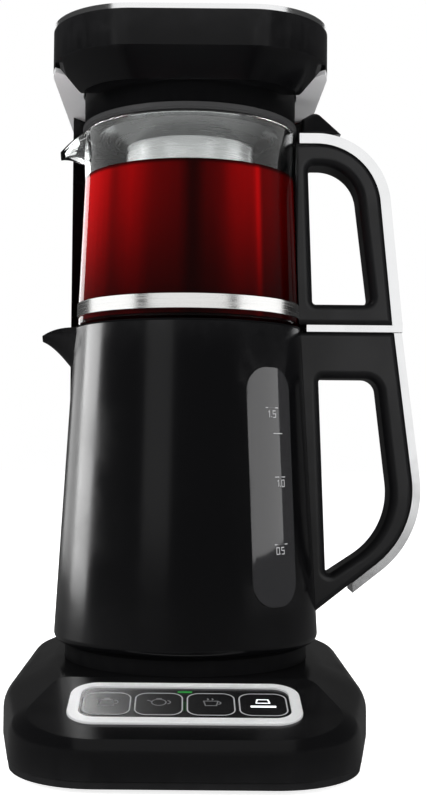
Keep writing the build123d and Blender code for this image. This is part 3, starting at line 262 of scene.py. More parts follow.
def parts_of(tree, vector):
    """X, Y and Z of a vector."""
    return add(tree, "SeparateXYZ", {"Vector": vector}).outputs


def noise(tree, place, **inputs):
    """Noise over a place."""
    return add(tree, "TexNoise", {"Vector": place, **inputs}).outputs["Fac"]


def worked_out(tree, operation, *values, clamp=False):
    """Result of a Math node."""
    node = add(tree, "Math", operation=operation, use_clamp=clamp)
    for value, socket in zip(values, node.inputs):
        feed(tree, value, socket)
    return node.outputs[0]


def ranged(tree, value, span, result=(0.0, 1.0), soft=False):
    """Value that goes through a result's range over a span of its own, with soft ends if asked."""
    inputs = {"Value": value, "From Min": span[0], "From Max": span[1]}
    inputs.update({"To Min": result[0], "To Max": result[1]})
    kind = "SMOOTHSTEP" if soft else "LINEAR"
    return add(tree, "MapRange", inputs, interpolation_type=kind).outputs["Result"]


def mixed(tree, first, second, mask, kind="RGBA"):
    """Colour or number that goes from the first to the second by a mask."""
    first_socket, second_socket, result = MIX_SOCKETS[kind]
    node = add(tree, "Mix", data_type=kind)
    feed(tree, mask, node.inputs[0])
    feed(tree, first, node.inputs[first_socket])
    feed(tree, second, node.inputs[second_socket])
    return node.outputs[result]


def rays(tree, *kinds):
    """Mask of the rays of one or two kinds."""
    path = add(tree, "LightPath")
    masks = [path.outputs[f"Is {kind} Ray"] for kind in kinds]
    return worked_out(tree, "MAXIMUM", *masks) if len(masks) > 1 else masks[0]


# ---- Effects that several finishes share ----
NOISE_SPAN = (0.3, 0.7)  # where most of a noise's values lie
SMUDGE_SPAN = (0.42, 0.72)  # from clean to smudged, in the same values
EDGE_SPAN = (0.53, 0.68)  # pointiness, from a flat face to an outer edge
UPWARD_SPAN = (0.75, 1.0)  # how far up a face looks before dust stays on it
edge_breakup_scale = 130


def new_effect(name, inputs, outputs):
    """Empty shader group with named float inputs and outputs, and its inner sockets."""
    group = bpy.data.node_groups.new(name, "ShaderNodeTree")
    for label, value in inputs.items():
        socket = group.interface.new_socket(label, in_out="INPUT", socket_type="NodeSocketFloat")
        socket.default_value = value
    for label in outputs:
        group.interface.new_socket(label, in_out="OUTPUT", socket_type="NodeSocketFloat")
    given = group.nodes.new("NodeGroupInput").outputs
    result = group.nodes.new("NodeGroupOutput").inputs
    return group, given, result


def moulded_skin():
    """Fine grain and slow waviness of moulded plastic, as one height."""
    inputs = {"Grain Scale": 900, "Grain": 0.3, "Wave Scale": 14, "Wave": 0.5}
    tree, given, result = new_effect("moulded_skin", inputs, ["Height"])
    place = own_place(tree)
    grain = noise(tree, place, Scale=given["Grain Scale"], Detail=2)
    wave = noise(tree, place, Scale=given["Wave Scale"], Detail=1)
    fine = worked_out(tree, "MULTIPLY", grain, given["Grain"])
    both = worked_out(tree, "MULTIPLY_ADD", wave, given["Wave"], fine)
    feed(tree, both, result["Height"])
    return tree


def handling_smudges():
    """Handled patches that are a little duller than the rest, from low to high roughness."""
    inputs = {"Scale": 24, "Low": 0.1, "High": 0.25}
    tree, given, result = new_effect("handling_smudges", inputs, ["Roughness"])
    cloud = noise(tree, own_place(tree), Scale=given["Scale"], Detail=5, Roughness=0.6)
    dulled = ranged(tree, cloud, SMUDGE_SPAN, (given["Low"], given["High"]), soft=True)
    feed(tree, dulled, result["Roughness"])
    return tree


def worn_edges():
    """Mask of worn outer edges."""
    tree, given, result = new_effect("worn_edges", {"Amount": 0.4}, ["Mask"])
    pointed = add(tree, "NewGeometry").outputs["Pointiness"]
    edge = ranged(tree, pointed, EDGE_SPAN, soft=True)
    breakup = noise(tree, own_place(tree), Scale=edge_breakup_scale)
    broken = worked_out(tree, "MULTIPLY", edge, breakup)
    feed(tree, worked_out(tree, "MULTIPLY", broken, given["Amount"]), result["Mask"])
    return tree


def settled_dust():
    """Mask of dust on faces that look up."""
    tree, given, result = new_effect("settled_dust", {"Amount": 0.1, "Scale": 500}, ["Mask"])
    facing = parts_of(tree, add(tree, "TexCoord").outputs["Normal"])["Z"]
    upward = ranged(tree, facing, UPWARD_SPAN)
    speck = noise(tree, own_place(tree), Scale=given["Scale"], Detail=4)
    dusty = worked_out(tree, "MULTIPLY", upward, speck)
    feed(tree, worked_out(tree, "MULTIPLY", dusty, given["Amount"]), result["Mask"])
    return tree


def brushed_lines():
    """Fine lines round an upright axis, as from a brush on a turning part."""
    inputs = {"Scale": 40, "Stretch": 60, "Low": 0.2, "High": 0.4}
    tree, given, result = new_effect("brushed_lines", inputs, ["Roughness", "Height"])
    place = parts_of(tree, own_place(tree))
    tall = worked_out(tree, "MULTIPLY", place["Z"], given["Stretch"])
    squeezed = add(tree, "CombineXYZ", {"X": place["X"], "Y": place["Y"], "Z": tall})
    lines = noise(tree, squeezed.outputs[0], Scale=given["Scale"], Detail=3)
    rough = ranged(tree, lines, NOISE_SPAN, (given["Low"], given["High"]))
    feed(tree, rough, result["Roughness"])
    feed(tree, lines, result["Height"])
    return tree


SKIN = moulded_skin()
SMUDGES = handling_smudges()
EDGES = worn_edges()
DUST = settled_dust()
BRUSHED = brushed_lines()


def effect(tree, group, **values):
    """Outputs of a shared effect placed in a material with its own values."""
    node = add(tree, "Group", node_tree=group)
    for label, value in values.items():
        node.inputs[label.replace("_", " ")].default_value = value
    return node.outputs


# ---- Finishes ----
DUST_COLOUR = (0.42, 0.41, 0.39)
BLACK_WORN = (0.05, 0.05, 0.052)
WINDOW_SMOKE = (0.035, 0.035, 0.037)
WINDOW_DUST = (0.2, 0.2, 0.2)
WINDOW_TINT = (0.6, 0.6, 0.6)
GLASS_COLOUR = (0.97, 0.985, 0.98)
GLASS_TINT = (0.95, 0.96, 0.96)
edge_wear = 0.3
plating_wear = 0.25
worn_plating = 0.8
bright_steel = 1.15
dim_glow = 0.8
glow_cloud_scale = 300

# Depth of a moulding's bump, and strength and depth of the others.
moulding_depth = 0.6 * mm
PLATING_BUMP = (0.04, 0.4 * mm)
BRUSHED_BUMP = (0.05, 0.2 * mm)
GLASS_BUMP = (0.03, 0.6 * mm)
WINDOW_BUMP = (0.05, 0.4 * mm)


def new_material(name, **inputs):
    """Material with a Principled BSDF whose plain values are set on its own sockets."""
    material = bpy.data.materials.new(name)
    material.use_nodes = True
    tree = material.node_tree
    tree.nodes.clear()
    surface = add(tree, "BsdfPrincipled")
    for label, value in inputs.items():
        surface.inputs[label.replace("_", " ")].default_value = value
    add(tree, "OutputMaterial", {"Surface": surface.outputs[0]})
    return material, tree, surface


def dressed(tree, surface, **inputs):
    """Feeds values that change over the surface into its sockets."""
    for label, value in inputs.items():
        feed(tree, value, surface.inputs[label.replace("_", " ")])


def bumped(tree, height, strength, distance):
    """Normal bumped by a height."""
    inputs = {"Height": height, "Strength": strength, "Distance": distance}
    return add(tree, "Bump", inputs).outputs["Normal"]


def moulded(
    name,
    colour,
    worn,
    rough,
    specular=0.5,
    grain=0.2,
    wave=0.3,
    wear=edge_wear,
    dust=0.05,
    bump=0.05,
):
    """Moulded plastic or rubber: grain, handling smudges, worn edges and a little dust."""
    material, tree, surface = new_material(name, Specular_IOR_Level=specular)
    edges = effect(tree, EDGES, Amount=wear)["Mask"]
    specks = effect(tree, DUST, Amount=dust)["Mask"]
    skin = effect(tree, SKIN, Grain=grain, Wave=wave)["Height"]
    dressed(
        tree,
        surface,
        Base_Color=mixed(tree, mixed(tree, colour, worn, edges), DUST_COLOUR, specks),
        Roughness=effect(tree, SMUDGES, Low=rough[0], High=rough[1])["Roughness"],
        Normal=bumped(tree, skin, bump, moulding_depth),
    )
    return material


def plated(name, colour, rough, metallic=1.0):
    """Bright plated trim with faint handling marks."""
    material, tree, surface = new_material(name, Metallic=metallic)
    worn = tuple(c * worn_plating for c in colour)
    edges = effect(tree, EDGES, Amount=plating_wear)["Mask"]
    skin = effect(tree, SKIN, Grain=0.0, Wave_Scale=30, Wave=0.4)["Height"]
    dressed(
        tree,
        surface,
        Base_Color=mixed(tree, colour, worn, edges),
        Roughness=effect(tree, SMUDGES, Scale=60, Low=rough[0], High=rough[1])["Roughness"],
        Normal=bumped(tree, skin, *PLATING_BUMP),
    )
    return material


def brushed(name, colour, rough, stretch):
    """Brushed steel with lines round the axis."""
    material, tree, surface = new_material(name, Metallic=1.0)
    bright = tuple(min(1.0, c * bright_steel) for c in colour)
    edges = effect(tree, EDGES, Amount=edge_wear)["Mask"]
    lines = effect(tree, BRUSHED, Stretch=stretch, Low=rough[0], High=rough[1])
    dressed(
        tree,
        surface,
        Base_Color=mixed(tree, colour, bright, edges),
        Roughness=lines["Roughness"],
        Normal=bumped(tree, lines["Height"], *BRUSHED_BUMP),
    )
    return material


def let_light_in(tree, surface, tint):
    """Lets lamps shine through a clear material on what is behind it."""
    clear = add(tree, "BsdfTransparent", {"Color": tint})
    mix = add(tree, "MixShader", {"Fac": rays(tree, "Shadow", "Diffuse")})
    feed(tree, surface.outputs[0], mix.inputs[1])
    feed(tree, clear.outputs[0], mix.inputs[2])
    output = next(node for node in tree.nodes if node.type == "OUTPUT_MATERIAL")
    feed(tree, mix.outputs[0], output.inputs["Surface"])


def clear_glass():
    """Clear blown glass with faint waviness and finger marks."""
    material, tree, surface = new_material("pot_glass", Transmission_Weight=1.0, IOR=1.47)
    skin = effect(tree, SKIN, Grain=0.0, Wave_Scale=22, Wave=1.0)["Height"]
    dressed(
        tree,
        surface,
        Base_Color=GLASS_COLOUR,
        Roughness=effect(tree, SMUDGES, Scale=35, Low=0.0, High=0.025)["Roughness"],
        Normal=bumped(tree, skin, *GLASS_BUMP),
    )
    let_light_in(tree, surface, GLASS_TINT)
    return material


def smoked_clear():
    """Smoked clear plastic of the level window."""
    material, tree, surface = new_material("window_clear", Transmission_Weight=0.5, IOR=1.49)
    specks = effect(tree, DUST, Amount=0.2)["Mask"]
    skin = effect(tree, SKIN, Grain=0.0, Wave=0.2)["Height"]
    dressed(
        tree,
        surface,
        Base_Color=mixed(tree, WINDOW_SMOKE, WINDOW_DUST, specks),
        Roughness=effect(tree, SMUDGES, Scale=50, Low=0.04, High=0.1)["Roughness"],
        Normal=bumped(tree, skin, *WINDOW_BUMP),
    )
    let_light_in(tree, surface, WINDOW_TINT)
    return material


# Dark and bright red of the tea, between which its painted columns, fade and rim line go.
TEA_DARK = (0.004, 0.0, 0.0)
TEA_BRIGHT = (0.66, 0.003, 0.004)
# Pale grey that the tea shows only in reflections: a painted highlight.
TEA_PAINTED_GLEAM = (0.66, 0.65, 0.65)
# Strength of the fine streaks, of the painted shade and light that goes from dark at the foot to
# bright at the top, and of the painted dark line at the rim.
TEA_STREAKS = (0.7, 1.25)
TEA_PAINTED_FADE = (0.3, 2.6)
TEA_PAINTED_RIM_SHADE = (1.0, 0.1)
TEA_STREAK_SCALE = (70, 70, 4.0)
painted_fade_above = 6 * mm
painted_rim_shade_below = 2.2 * mm
painted_rim_shade_above = 0.2 * mm

# Painted light and shade in the tea: bright and dark columns that stand in for the bands that
# refraction and reflection in the round pot would give. Share of the turn round the pot from its
# left, and strength of the red.
TEA_PAINTED_COLUMNS = (
    (0.0, 0.1),
    (0.05, 0.34),
    (0.10, 0.16),
    (0.13, 0.075),
    (0.16, 0.1),
    (0.20, 0.036),
    (0.228, 0.036),
    (0.255, 0.004),
    (0.28, 0.022),
    (0.335, 0.1),
    (0.349, 0.12),
    (0.357, 0.27),
    (0.366, 0.06),
    (0.43, 0.02),
    (0.50, 0.1),
    (0.60, 0.5),
    (0.70, 0.1),
    (0.80, 0.5),
    (0.90, 0.3),
)


def painted_tea_columns(tree, part):
    """Strength of the painted light and dark columns round the pot, by the turn about its axis."""
    turn = worked_out(tree, "ARCTAN2", part["Y"], part["X"])
    columns = add(tree, "ValToRGB", {"Fac": ranged(tree, turn, (-pi, pi))})
    columns.color_ramp.interpolation = "EASE"
    stops = columns.color_ramp.elements
    stops.remove(stops[1])
    for share, strength in TEA_PAINTED_COLUMNS:
        stop = stops.new(share) if share else stops[0]
        stop.color = (strength, strength, strength, 1)
    return columns.outputs["Color"]


def red_tea():
    """Strong red tea: painted dark and bright columns, painted light towards the top, a painted
    shadow line at the rim, and a painted pale gleam in reflections.
    """
    material, tree, surface = new_material("red_tea", Roughness=0.25, Specular_IOR_Level=0.0)
    place = own_place(tree)
    centred = add(tree, "VectorMath", operation="SUBTRACT")
    feed(tree, place, centred.inputs[0])
    feed(tree, (axis_x, axis_y, 0), centred.inputs[1])
    part = parts_of(tree, centred.outputs[0])
    squeezed = add(tree, "Mapping", {"Vector": place, "Scale": TEA_STREAK_SCALE}).outputs[0]
    drift = noise(tree, squeezed, Scale=1.0, Detail=3)
    streaks = ranged(tree, drift, NOISE_SPAN, TEA_STREAKS)
    strength = worked_out(tree, "MULTIPLY", painted_tea_columns(tree, part), streaks)
    # Painted shade at the foot that goes over to painted light at the top.
    painted_fade_span = (band_low.z, tea_level + painted_fade_above)
    fade = ranged(tree, part["Z"], painted_fade_span, TEA_PAINTED_FADE, soft=True)
    # Painted dark line just under the tea's surface at the glass.
    painted_rim_shade_span = (tea_level - painted_rim_shade_below, tea_level + painted_rim_shade_above)
    rim = ranged(tree, part["Z"], painted_rim_shade_span, TEA_PAINTED_RIM_SHADE, soft=True)
    painted_fade_and_rim_shade = worked_out(tree, "MULTIPLY", fade, rim)
    # The red goes from dark to bright by the painted columns, fade and rim line together.
    shown = worked_out(tree, "MULTIPLY", strength, painted_fade_and_rim_shade, clamp=True)
    red = mixed(tree, TEA_DARK, TEA_BRIGHT, shown)
    # Painted highlight: what mirrors the tea sees it pale grey instead of red.
    glossy, through = rays(tree, "Glossy"), rays(tree, "Transmission")
    painted_gleam_rays = worked_out(tree, "SUBTRACT", glossy, through, clamp=True)
    dressed(tree, surface, Base_Color=mixed(tree, red, TEA_PAINTED_GLEAM, painted_gleam_rays))
    return material


def glowing(name, colour, strength):
    """Lit plastic with an uneven glow."""
    material, tree, surface = new_material(name, Roughness=0.3, Emission_Strength=strength)
    dim = tuple(c * dim_glow for c in colour)
    lit = mixed(tree, dim, colour, noise(tree, own_place(tree), Scale=glow_cloud_scale))
    dressed(tree, surface, Base_Color=lit, Emission_Color=lit)
    return material


MOULDED_FINISHES = {
    "gloss_black": dict(
        colour=(0.002, 0.002, 0.0023), worn=BLACK_WORN, rough=(0.17, 0.26),
        specular=0.4, grain=0.05, dust=0.006,
    ),
    "satin_black": dict(
        colour=(0.0045, 0.0045, 0.005), worn=BLACK_WORN, rough=(0.32, 0.44),
        specular=0.35, grain=0.5, dust=0.008, bump=0.08,
    ),
    "matt_black": dict(
        colour=(0.0022, 0.0022, 0.0025), worn=(0.02, 0.02, 0.02), rough=(0.5, 0.62),
        specular=0.12, grain=0.6, dust=0.002, bump=0.08,
    ),
    "panel_gloss": dict(
        colour=(0.003, 0.003, 0.0035), worn=BLACK_WORN, rough=(0.22, 0.27),
        grain=0.0, wave=0.15, wear=0.1, dust=0.004,
    ),
    "dark_inner": dict(
        colour=(0.03, 0.03, 0.033), worn=(0.09, 0.09, 0.09), rough=(0.4, 0.55),
        grain=0.6, bump=0.1,
    ),
    "pale_grey": dict(
        colour=(0.62, 0.62, 0.63), worn=(0.7, 0.7, 0.7), rough=(0.35, 0.5),
        grain=0.4, bump=0.06,
    ),
    "seal_grey": dict(
        colour=(0.03, 0.03, 0.031), worn=(0.1, 0.1, 0.1), rough=(0.45, 0.6),
        grain=0.5, bump=0.1,
    ),
    "foot_rubber": dict(
        colour=(0.02, 0.02, 0.02), worn=(0.06, 0.06, 0.06), rough=(0.6, 0.75),
        grain=0.8, bump=0.2,
    ),
    "board_green": dict(
        colour=(0.01, 0.11, 0.04), worn=(0.06, 0.2, 0.1), rough=(0.3, 0.45), grain=0.3,
    ),
    "hose_white": dict(
        colour=(0.6, 0.6, 0.57), worn=(0.7, 0.7, 0.68), rough=(0.4, 0.55), grain=0.3,
    ),
    "print_grey": dict(
        colour=(0.36, 0.36, 0.37), worn=(0.4, 0.4, 0.4), rough=(0.4, 0.5), dust=0.0,
    ),
    "print_dim": dict(
        colour=(0.13, 0.13, 0.135), worn=(0.2, 0.2, 0.2), rough=(0.4, 0.5), dust=0.0,
    ),
}
PLATED_FINISHES = {
    "bright_trim": dict(colour=(0.92, 0.925, 0.93), rough=(0.16, 0.26)),
    "contact_brass": dict(colour=(0.72, 0.53, 0.25), rough=(0.2, 0.35)),
    "satin_silver": dict(colour=(0.78, 0.785, 0.79), rough=(0.3, 0.4), metallic=0.4),
}
BRUSHED_FINISHES = {
    "steel": dict(colour=(0.80, 0.80, 0.79), rough=(0.16, 0.3), stretch=60),
    "screw_steel": dict(colour=(0.42, 0.42, 0.43), rough=(0.3, 0.5), stretch=20),
    # Painted shade: a darker copy of the steel for the basket, which stands inside the glass.
    "basket_steel": dict(colour=(0.46, 0.465, 0.465), rough=(0.18, 0.3), stretch=60),
}
GLOWING_FINISHES = {
    "light_green": dict(colour=(0.015, 0.2, 0.03), strength=0.4),
    "print_lit": dict(colour=(0.9, 0.92, 0.95), strength=1.1),
}
# Nodes with another finish than their material slot's.
NODE_FINISHES = {
    "cover_drum": "matt_black",
    "dock_plate": "matt_black",
    "kettle_collar": "matt_black",
    "kettle_foot": "matt_black",
    "panel_bezel": "satin_silver",
    "filter_basket": "basket_steel",
}


def make_finishes():
    """All finishes by name."""
    finishes = {"pot_glass": clear_glass(), "window_clear": smoked_clear(), "red_tea": red_tea()}
    kinds = (
        (moulded, MOULDED_FINISHES),
        (plated, PLATED_FINISHES),
        (brushed, BRUSHED_FINISHES),
        (glowing, GLOWING_FINISHES),
    )
    for kind, rows in kinds:
        for name, values in rows.items():
            finishes[name] = kind(name, **values)
    return finishes


def finish_nodes():
    """Gives each CAD node its finish."""
    for row in frame["record"]["subparts"]:
        finish = NODE_FINISHES.get(row["node"], row["material_slot"])
        nodes[row["node"]].data.materials[0] = FINISHES[finish]


FINISHES = make_finishes()
finish_nodes()


# ---- Tea ----
def pot_inner_radius(z):
    """Inner radius of the glass at a height."""
    foot_z = band_high.z
    if z <= foot_z:
        return pot_foot_radius - glass_wall
    if z <= pot_waist_z:
        outer = tapered(z, foot_z, pot_waist_z, pot_foot_radius, pot_waist_radius)
    else:
        outer = tapered(z, pot_waist_z, glass_high.z, pot_waist_radius, pot_rim_radius)
    return outer - glass_wall


def make_tea():
    """Tea that fills the pot up to its level, and climbs a little at the glass."""
    floor_z = glass_low.z + glass_floor - tea_overlap
    levels = [floor_z, band_high.z, tea_level - meniscus_reach, tea_level + meniscus_height]
    wall = [(pot_inner_radius(z) + tea_overlap, z) for z in levels]
    top = wall[-1][0]
    bend_in, bend_up = meniscus_bend
    surface = [
        (top - bend_in, tea_level + bend_up),
        (top - meniscus_width, tea_level),
        (0, tea_level),
    ]
    verts, faces = turned_mesh([(0, floor_z)] + wall + surface, tea_steps)
    new_piece("tea", verts, faces, FINISHES["red_tea"], "teapot", tea_sharp_deg)


# ---- Level marks ----
def on_window(u, v, lift):
    """Point on the window, u to the right of its middle line, at height v, lifted outwards."""
    wall = tapered(v, kettle_foot_z, kettle_top_z, kettle_foot_radius, kettle_top_radius)
    radius = wall + window_proud
    turn = window_turn + u / radius
    radius += lift
    return (axis_x + radius * cos(turn), axis_y + radius * sin(turn), v)


def make_level_marks():
    """Level lines with their numbers beside them."""
    lines = []
    for z, start, end, label in LEVEL_MARKS:
        lines.append(([(start * mm, z * mm), (end * mm, z * mm)], False))
        cursor = start * mm + digit_gap
        top = (z - digit_drop_mm) * mm
        for character in label:
            for stroke in DIGITS[character]:
                points = [
                    (cursor + x * digit_width, top - (1 - y) * digit_height) for x, y in stroke
                ]
                lines.append((points, False))
            cursor += digit_width * (dot_step if character == "." else digit_step)
    printed("level_marks", lines, mark_line, on_window, FINISHES["print_grey"], "kettle")


# ---- Key prints ----
def key_place(key):
    """Map from a key's own face (u right, v up the slope, lift outwards) to the frame."""
    outward = Vector((0, -sin(panel_slope), cos(panel_slope)))
    along = Vector((0, cos(panel_slope), sin(panel_slope)))
    points = [v.co for v in nodes[key].data.vertices]
    top = max(p.dot(outward) for p in points)
    upper = [p for p in points if p.dot(outward) > top - key_top_depth]
    middle_u = (min(p.x for p in upper) + max(p.x for p in upper)) / 2
    middle_v = (min(p.dot(along) for p in upper) + max(p.dot(along) for p in upper)) / 2

    def place(u, v, lift):
        return Vector((middle_u + u, 0, 0)) + along * (middle_v + v) + outward * (top + lift)

    return place


def key_marks():
    """Pictogram of each key as (points, closed) lines, in millimetres from the key's middle."""
    steam = [([(x, 3.4), (x + 0.5, 4.4), (x, 5.4)], False) for x in (-1.6, 0.6)]
    return {
        "boil_key": [
            ([(-4, -3), (-3, 3.4), (2.4, 3.4), (3.4, -3)], True),
            ([(-3.2, 2.2), (-5, 3.6)], False),
            (arc(3.2, 0.6, 2.2, -80, 80), False),
            ([(-1.6, 4.6), (1.2, 4.6)], False),
        ],
        "tea_key": [
            (arc(0, 0.6, 3.4, 0, 360, 28)[:-1], True),
            ([(-1.4, 4.8), (1.4, 4.8)], False),
            ([(-3.2, 1.4), (-5.6, 3)], False),
            (arc(3.6, 0.8, 1.9, -75, 75), False),
        ],
        "coffee_key": [
            ([(-3.4, 2.4), (3.4, 2.4), (2.6, -2.6), (-2.6, -2.6)], True),
            (arc(3.2, 0.4, 1.5, -80, 80), False),
            *steam,
        ],
        "warm_key": [([(-2.6, 4.4), (2.6, 4.4), (3.2, 0.6), (-3.2, 0.6)], True)],
    }


def make_key_prints():
    """Outline and pictogram on each key. The last one's pictogram is lit, with a bar below it."""
    grey, lit = FINISHES["print_grey"], FINISHES["print_lit"]
    for key, marks in key_marks().items():
        name = key.replace("_key", "")
        body = f"{name}_button"
        place = key_place(key)
        low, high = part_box(key)
        width = high.x - low.x - outline_inset
        length = min((high.y - low.y) / cos(panel_slope), key_face_length) - outline_inset
        ring = rounded_loop(width, length, outline_corner)
        printed(f"{name}_outline", [(ring, True)], key_line, place, grey, body)
        symbol = [
            ([(x * mm, (y + symbol_rise_mm) * mm) for x, y in points], closed)
            for points, closed in marks
        ]
        ink = lit if key == "warm_key" else FINISHES["print_dim"]
        printed(f"{name}_symbol", symbol, key_line, place, ink, body)
        if key == "warm_key":
            bar = [([(-bar_half, -bar_drop), (bar_half, -bar_drop)], False)]
            printed("warm_bar", bar, bar_line, place, lit, body)


make_tea()
make_level_marks()
make_key_prints()

# ---- Studio measures ----
FLOOR_COLOUR = (0.80, 0.80, 0.80)
# Painted shade: the floor's colour as reflections see it, dark instead of its lit white.
FLOOR_PAINTED_SHADE_IN_GLOSS = (0.10, 0.10, 0.10)
WHITE = (1, 1, 1)
floor_half = 6.0
floor_drop = 0.2 * mm
floor_lift = 0.8
world_fill = 0.45
world_gloss = 0.055
fill_aim_z = 0.19
card_aim_z = 0.2
picture_height = 800.0
camera_lens = 52.65
camera_sensor = 36.0
camera_shift = 26.0 / picture_height
camera_distance = 0.660
camera_height = 0.155
camera_tilt = radians(92.2)
camera_roll = radians(0.5)

# Soft boxes that light the colours: place from the kettle's axis, width, height and watts.
FILL_BOXES = {
    "key_box": ((-0.95, -0.85, 0.85), 0.7, 0.7, 14),
    "right_box": ((1.0, -0.5, 0.5), 0.5, 0.9, 5),
    "top_box": ((0, 0.1, 1.4), 0.9, 0.9, 9),
    "left_low_box": ((-0.6, -0.35, 0.03), 0.4, 0.4, 3),
    "right_low_box": ((0.6, -0.35, 0.03), 0.4, 0.4, 3),
}
# White cards for the gloss: turn from the front to the left in degrees, distance, lowest and
# highest point, width, level (1 is white), and the pieces that they show in.
CARDS = {
    "kettle_card": (106, 1.0, 0.0, 0.95, 0.46, 8.0, "kettle_sides"),
    "kettle_rim_card": (131, 1.0, 0.0, 0.95, 0.6, 1.6, "kettle_sides"),
    "faint_card": (27, 1.3, 0.1, 1.1, 0.62, 0.5, "kettle_sides"),
    "case_card": (0, 1.4, -0.1, 1.3, 1.6, 0.25, "front_cases"),
    "case_left_card": (84, 1.2, 0.1, 1.3, 0.9, 0.8, "upper_cases"),
    "case_right_card": (-84, 1.2, 0.1, 1.3, 0.9, 0.8, "upper_cases"),
    "case_back_card": (176, 1.3, 0.1, 1.5, 0.9, 0.8, "upper_cases"),
    "handle_card": (-22, 1.3, -0.3, 1.3, 1.0, 1.2, "handles"),
    "window_card": (-77, 1.0, 0.08, 0.9, 0.66, 2.2, "window"),
    "trim_card": (-12, 1.4, -0.6, 1.8, 2.4, 0.9, "trims"),
    "trim_top_card": (180, 1.2, 0.2, 1.6, 2.0, 1.0, "trims"),
    "bezel_card": (180, 1.2, 0.2, 1.6, 2.0, 0.5, "bezel"),
    "band_card": (0, 1.4, 0.0, 1.2, 2.5, 0.88, "band"),
    "band_left_card": (85, 1.0, 0.0, 1.0, 1.3, 1.2, "band"),
    "band_right_card": (-80, 1.0, 0.0, 1.0, 1.2, 1.2, "band"),
    "basket_left_card": (100, 1.0, 0.0, 1.2, 1.0, 1.6, "basket"),
    "basket_right_card": (-100, 1.0, 0.0, 1.2, 1.0, 1.6, "basket"),
    "glass_card": (152, 1.0, 0.1, 0.9, 0.5, 1.9, "glass"),
    "glass_side_card": (112, 1.0, 0.63, 1.0, 1.1, 2.6, "glass"),
    "glass_rim_card": (0, 1.2, 0.85, 1.7, 2.6, 4.0, "glass"),
    "panel_card": (161, 1.2, 0.6, 1.4, 0.5, 3.6, "panel"),
}
# Cards whose light only these pieces can stop.
CARD_BLOCKERS = {
    "kettle_card": "kettle_sides",
    "kettle_rim_card": "kettle_sides",
    "bezel_card": "floor",
    "basket_left_card": "basket",
    "basket_right_card": "basket",
    "panel_card": "floor",
}
# Cards that reach their pieces past the glass, or past what stands on the base.
DIRECT_CARDS = ("bezel_card", "basket_left_card", "basket_right_card", "panel_card")


# ---- Studio ----
def soft_box(name, where, aim_z, width, height, power):
    """Soft box that looks at a height of the kettle's axis."""
    data = bpy.data.lights.new(name, "AREA")
    data.shape = "RECTANGLE"
    data.size = width
    data.size_y = height
    data.energy = power
    lamp = bpy.data.objects.new(name, data)
    bpy.context.scene.collection.objects.link(lamp)
    lamp.location = where
    towards = Vector((axis_x, axis_y, aim_z)) - Vector(where)
    lamp.rotation_euler = towards.to_track_quat("-Z", "Y").to_euler()
    lamp.visible_camera = False
    return lamp


def fill_box(name, offset, width, height, power):
    """Soft box that lights the object's colours and makes no hot spot in its gloss."""
    where = (axis_x + offset[0], axis_y + offset[1], offset[2])
    lamp = soft_box(name, where, fill_aim_z, width, height, power)
    lamp.visible_glossy = False
    lamp.visible_transmission = False


def in_finish(*names):
    """All pieces in some finishes."""
    shiny = [FINISHES[name] for name in names]
    meshes = [piece for piece in bpy.context.scene.objects if piece.type == "MESH"]
    return [piece for piece in meshes if piece.data.materials[0] in shiny]


def piece_sets():
    """Sets of pieces that cards show in, or that can stop their light."""
    return {
        "kettle_sides": [nodes["kettle_shell"], nodes["kettle_spout"]],
        "front_cases": [nodes["head_shell"], nodes["base_cover"]],
        "upper_cases": [nodes["head_cover"], nodes["tower_front"], nodes["tower_back"]],
        "handles": [nodes["kettle_handle"], nodes["teapot_handle"]],
        "window": in_finish("window_clear"),
        "trims": in_finish("bright_trim", "contact_brass"),
        "bezel": [nodes["panel_bezel"]],
        "band": [nodes["teapot_band"]],
        "basket": [nodes["filter_basket"]],
        "glass": in_finish("pot_glass"),
        "panel": in_finish("panel_gloss"),
        "floor": [bpy.data.objects["floor"]],
    }


def linked(name, pieces):
    """Collection of some pieces for light linking."""
    collection = bpy.data.collections.new(name)
    for piece in pieces:
        collection.objects.link(piece)
    return collection


def gleam_card(name, turn_deg, distance, low, high, width, level, shown_in, sets):
    """White card that shows in the gloss of its own pieces only, the glass's also through glass."""
    turn = radians(turn_deg)
    where = (axis_x - distance * sin(turn), axis_y - distance * cos(turn), (low + high) / 2)
    height = high - low
    card = soft_box(name, where, card_aim_z, width, height, level * pi * width * height)
    card.visible_diffuse = False
    card.visible_transmission = shown_in == "glass"
    card.light_linking.receiver_collection = linked(f"{name}_pieces", sets[shown_in])
    card.data.cycles.use_multiple_importance_sampling = name not in DIRECT_CARDS
    if name in CARD_BLOCKERS:
        blockers = sets[CARD_BLOCKERS[name]]
        card.light_linking.blocker_collection = linked(f"{name}_blockers", blockers)


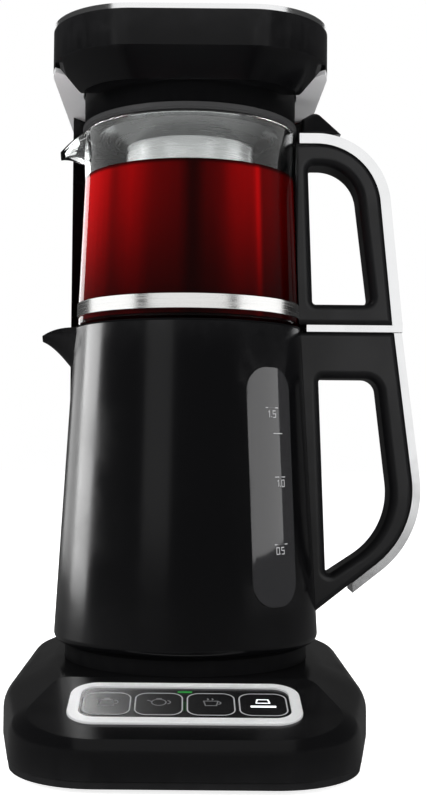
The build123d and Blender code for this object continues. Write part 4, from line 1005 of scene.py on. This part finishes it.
def make_lamps():
    """All soft boxes and cards."""
    for name, values in FILL_BOXES.items():
        fill_box(name, *values)
    sets = piece_sets()
    for name, values in CARDS.items():
        gleam_card(name, *values, sets)


def make_floor():
    """Plain pale floor that keeps the shadow, with painted shade in reflections, where it is seen
    dark grey.
    """
    half = floor_half
    corners = [(-half, -half, 0), (half, -half, 0), (half, half, 0), (-half, half, 0)]
    mesh = bpy.data.meshes.new("floor")
    mesh.from_pydata(corners, [], [(0, 1, 2, 3)])
    floor = bpy.data.objects.new("floor", mesh)
    bpy.context.scene.collection.objects.link(floor)
    floor.location.z = -floor_drop
    material, tree, surface = new_material("floor_white", Roughness=0.7, Specular_IOR_Level=0.0)
    seen = rays(tree, "Camera", "Transmission")
    dressed(
        tree,
        surface,
        Base_Color=mixed(tree, FLOOR_COLOUR, FLOOR_PAINTED_SHADE_IN_GLOSS, rays(tree, "Glossy")),
        Emission_Color=WHITE,
        Emission_Strength=worked_out(tree, "MULTIPLY", seen, floor_lift),
    )
    mesh.materials.append(material)


def make_world():
    """White surround for what looks at it straight, and a dark studio in the gloss."""
    world = bpy.data.worlds.new("studio")
    bpy.context.scene.world = world
    world.use_nodes = True
    world.cycles.sampling_method = "NONE"
    tree = world.node_tree
    tree.nodes.clear()
    fill = mixed(tree, world_fill, world_gloss, rays(tree, "Glossy"), kind="FLOAT")
    level = mixed(tree, fill, 1.0, rays(tree, "Camera", "Transmission"), kind="FLOAT")
    shine = add(tree, "Background", {"Color": WHITE, "Strength": level})
    add(tree, "OutputWorld", {"Surface": shine.outputs[0]})


def make_camera():
    """Camera in front, a little below the middle and tilted up."""
    data = bpy.data.cameras.new("camera")
    data.lens = camera_lens
    data.sensor_width = camera_sensor
    data.shift_x = camera_shift
    camera = bpy.data.objects.new("camera", data)
    bpy.context.scene.collection.objects.link(camera)
    turn = Matrix.Rotation(camera_tilt, 4, "X") @ Matrix.Rotation(camera_roll, 4, "Z")
    where = (axis_x, axis_y - camera_distance, camera_height)
    camera.matrix_world = Matrix.Translation(where) @ turn
    bpy.context.scene.camera = camera


make_floor()
make_world()
make_lamps()
make_camera()
bpy.context.scene.view_settings.view_transform = "Standard"
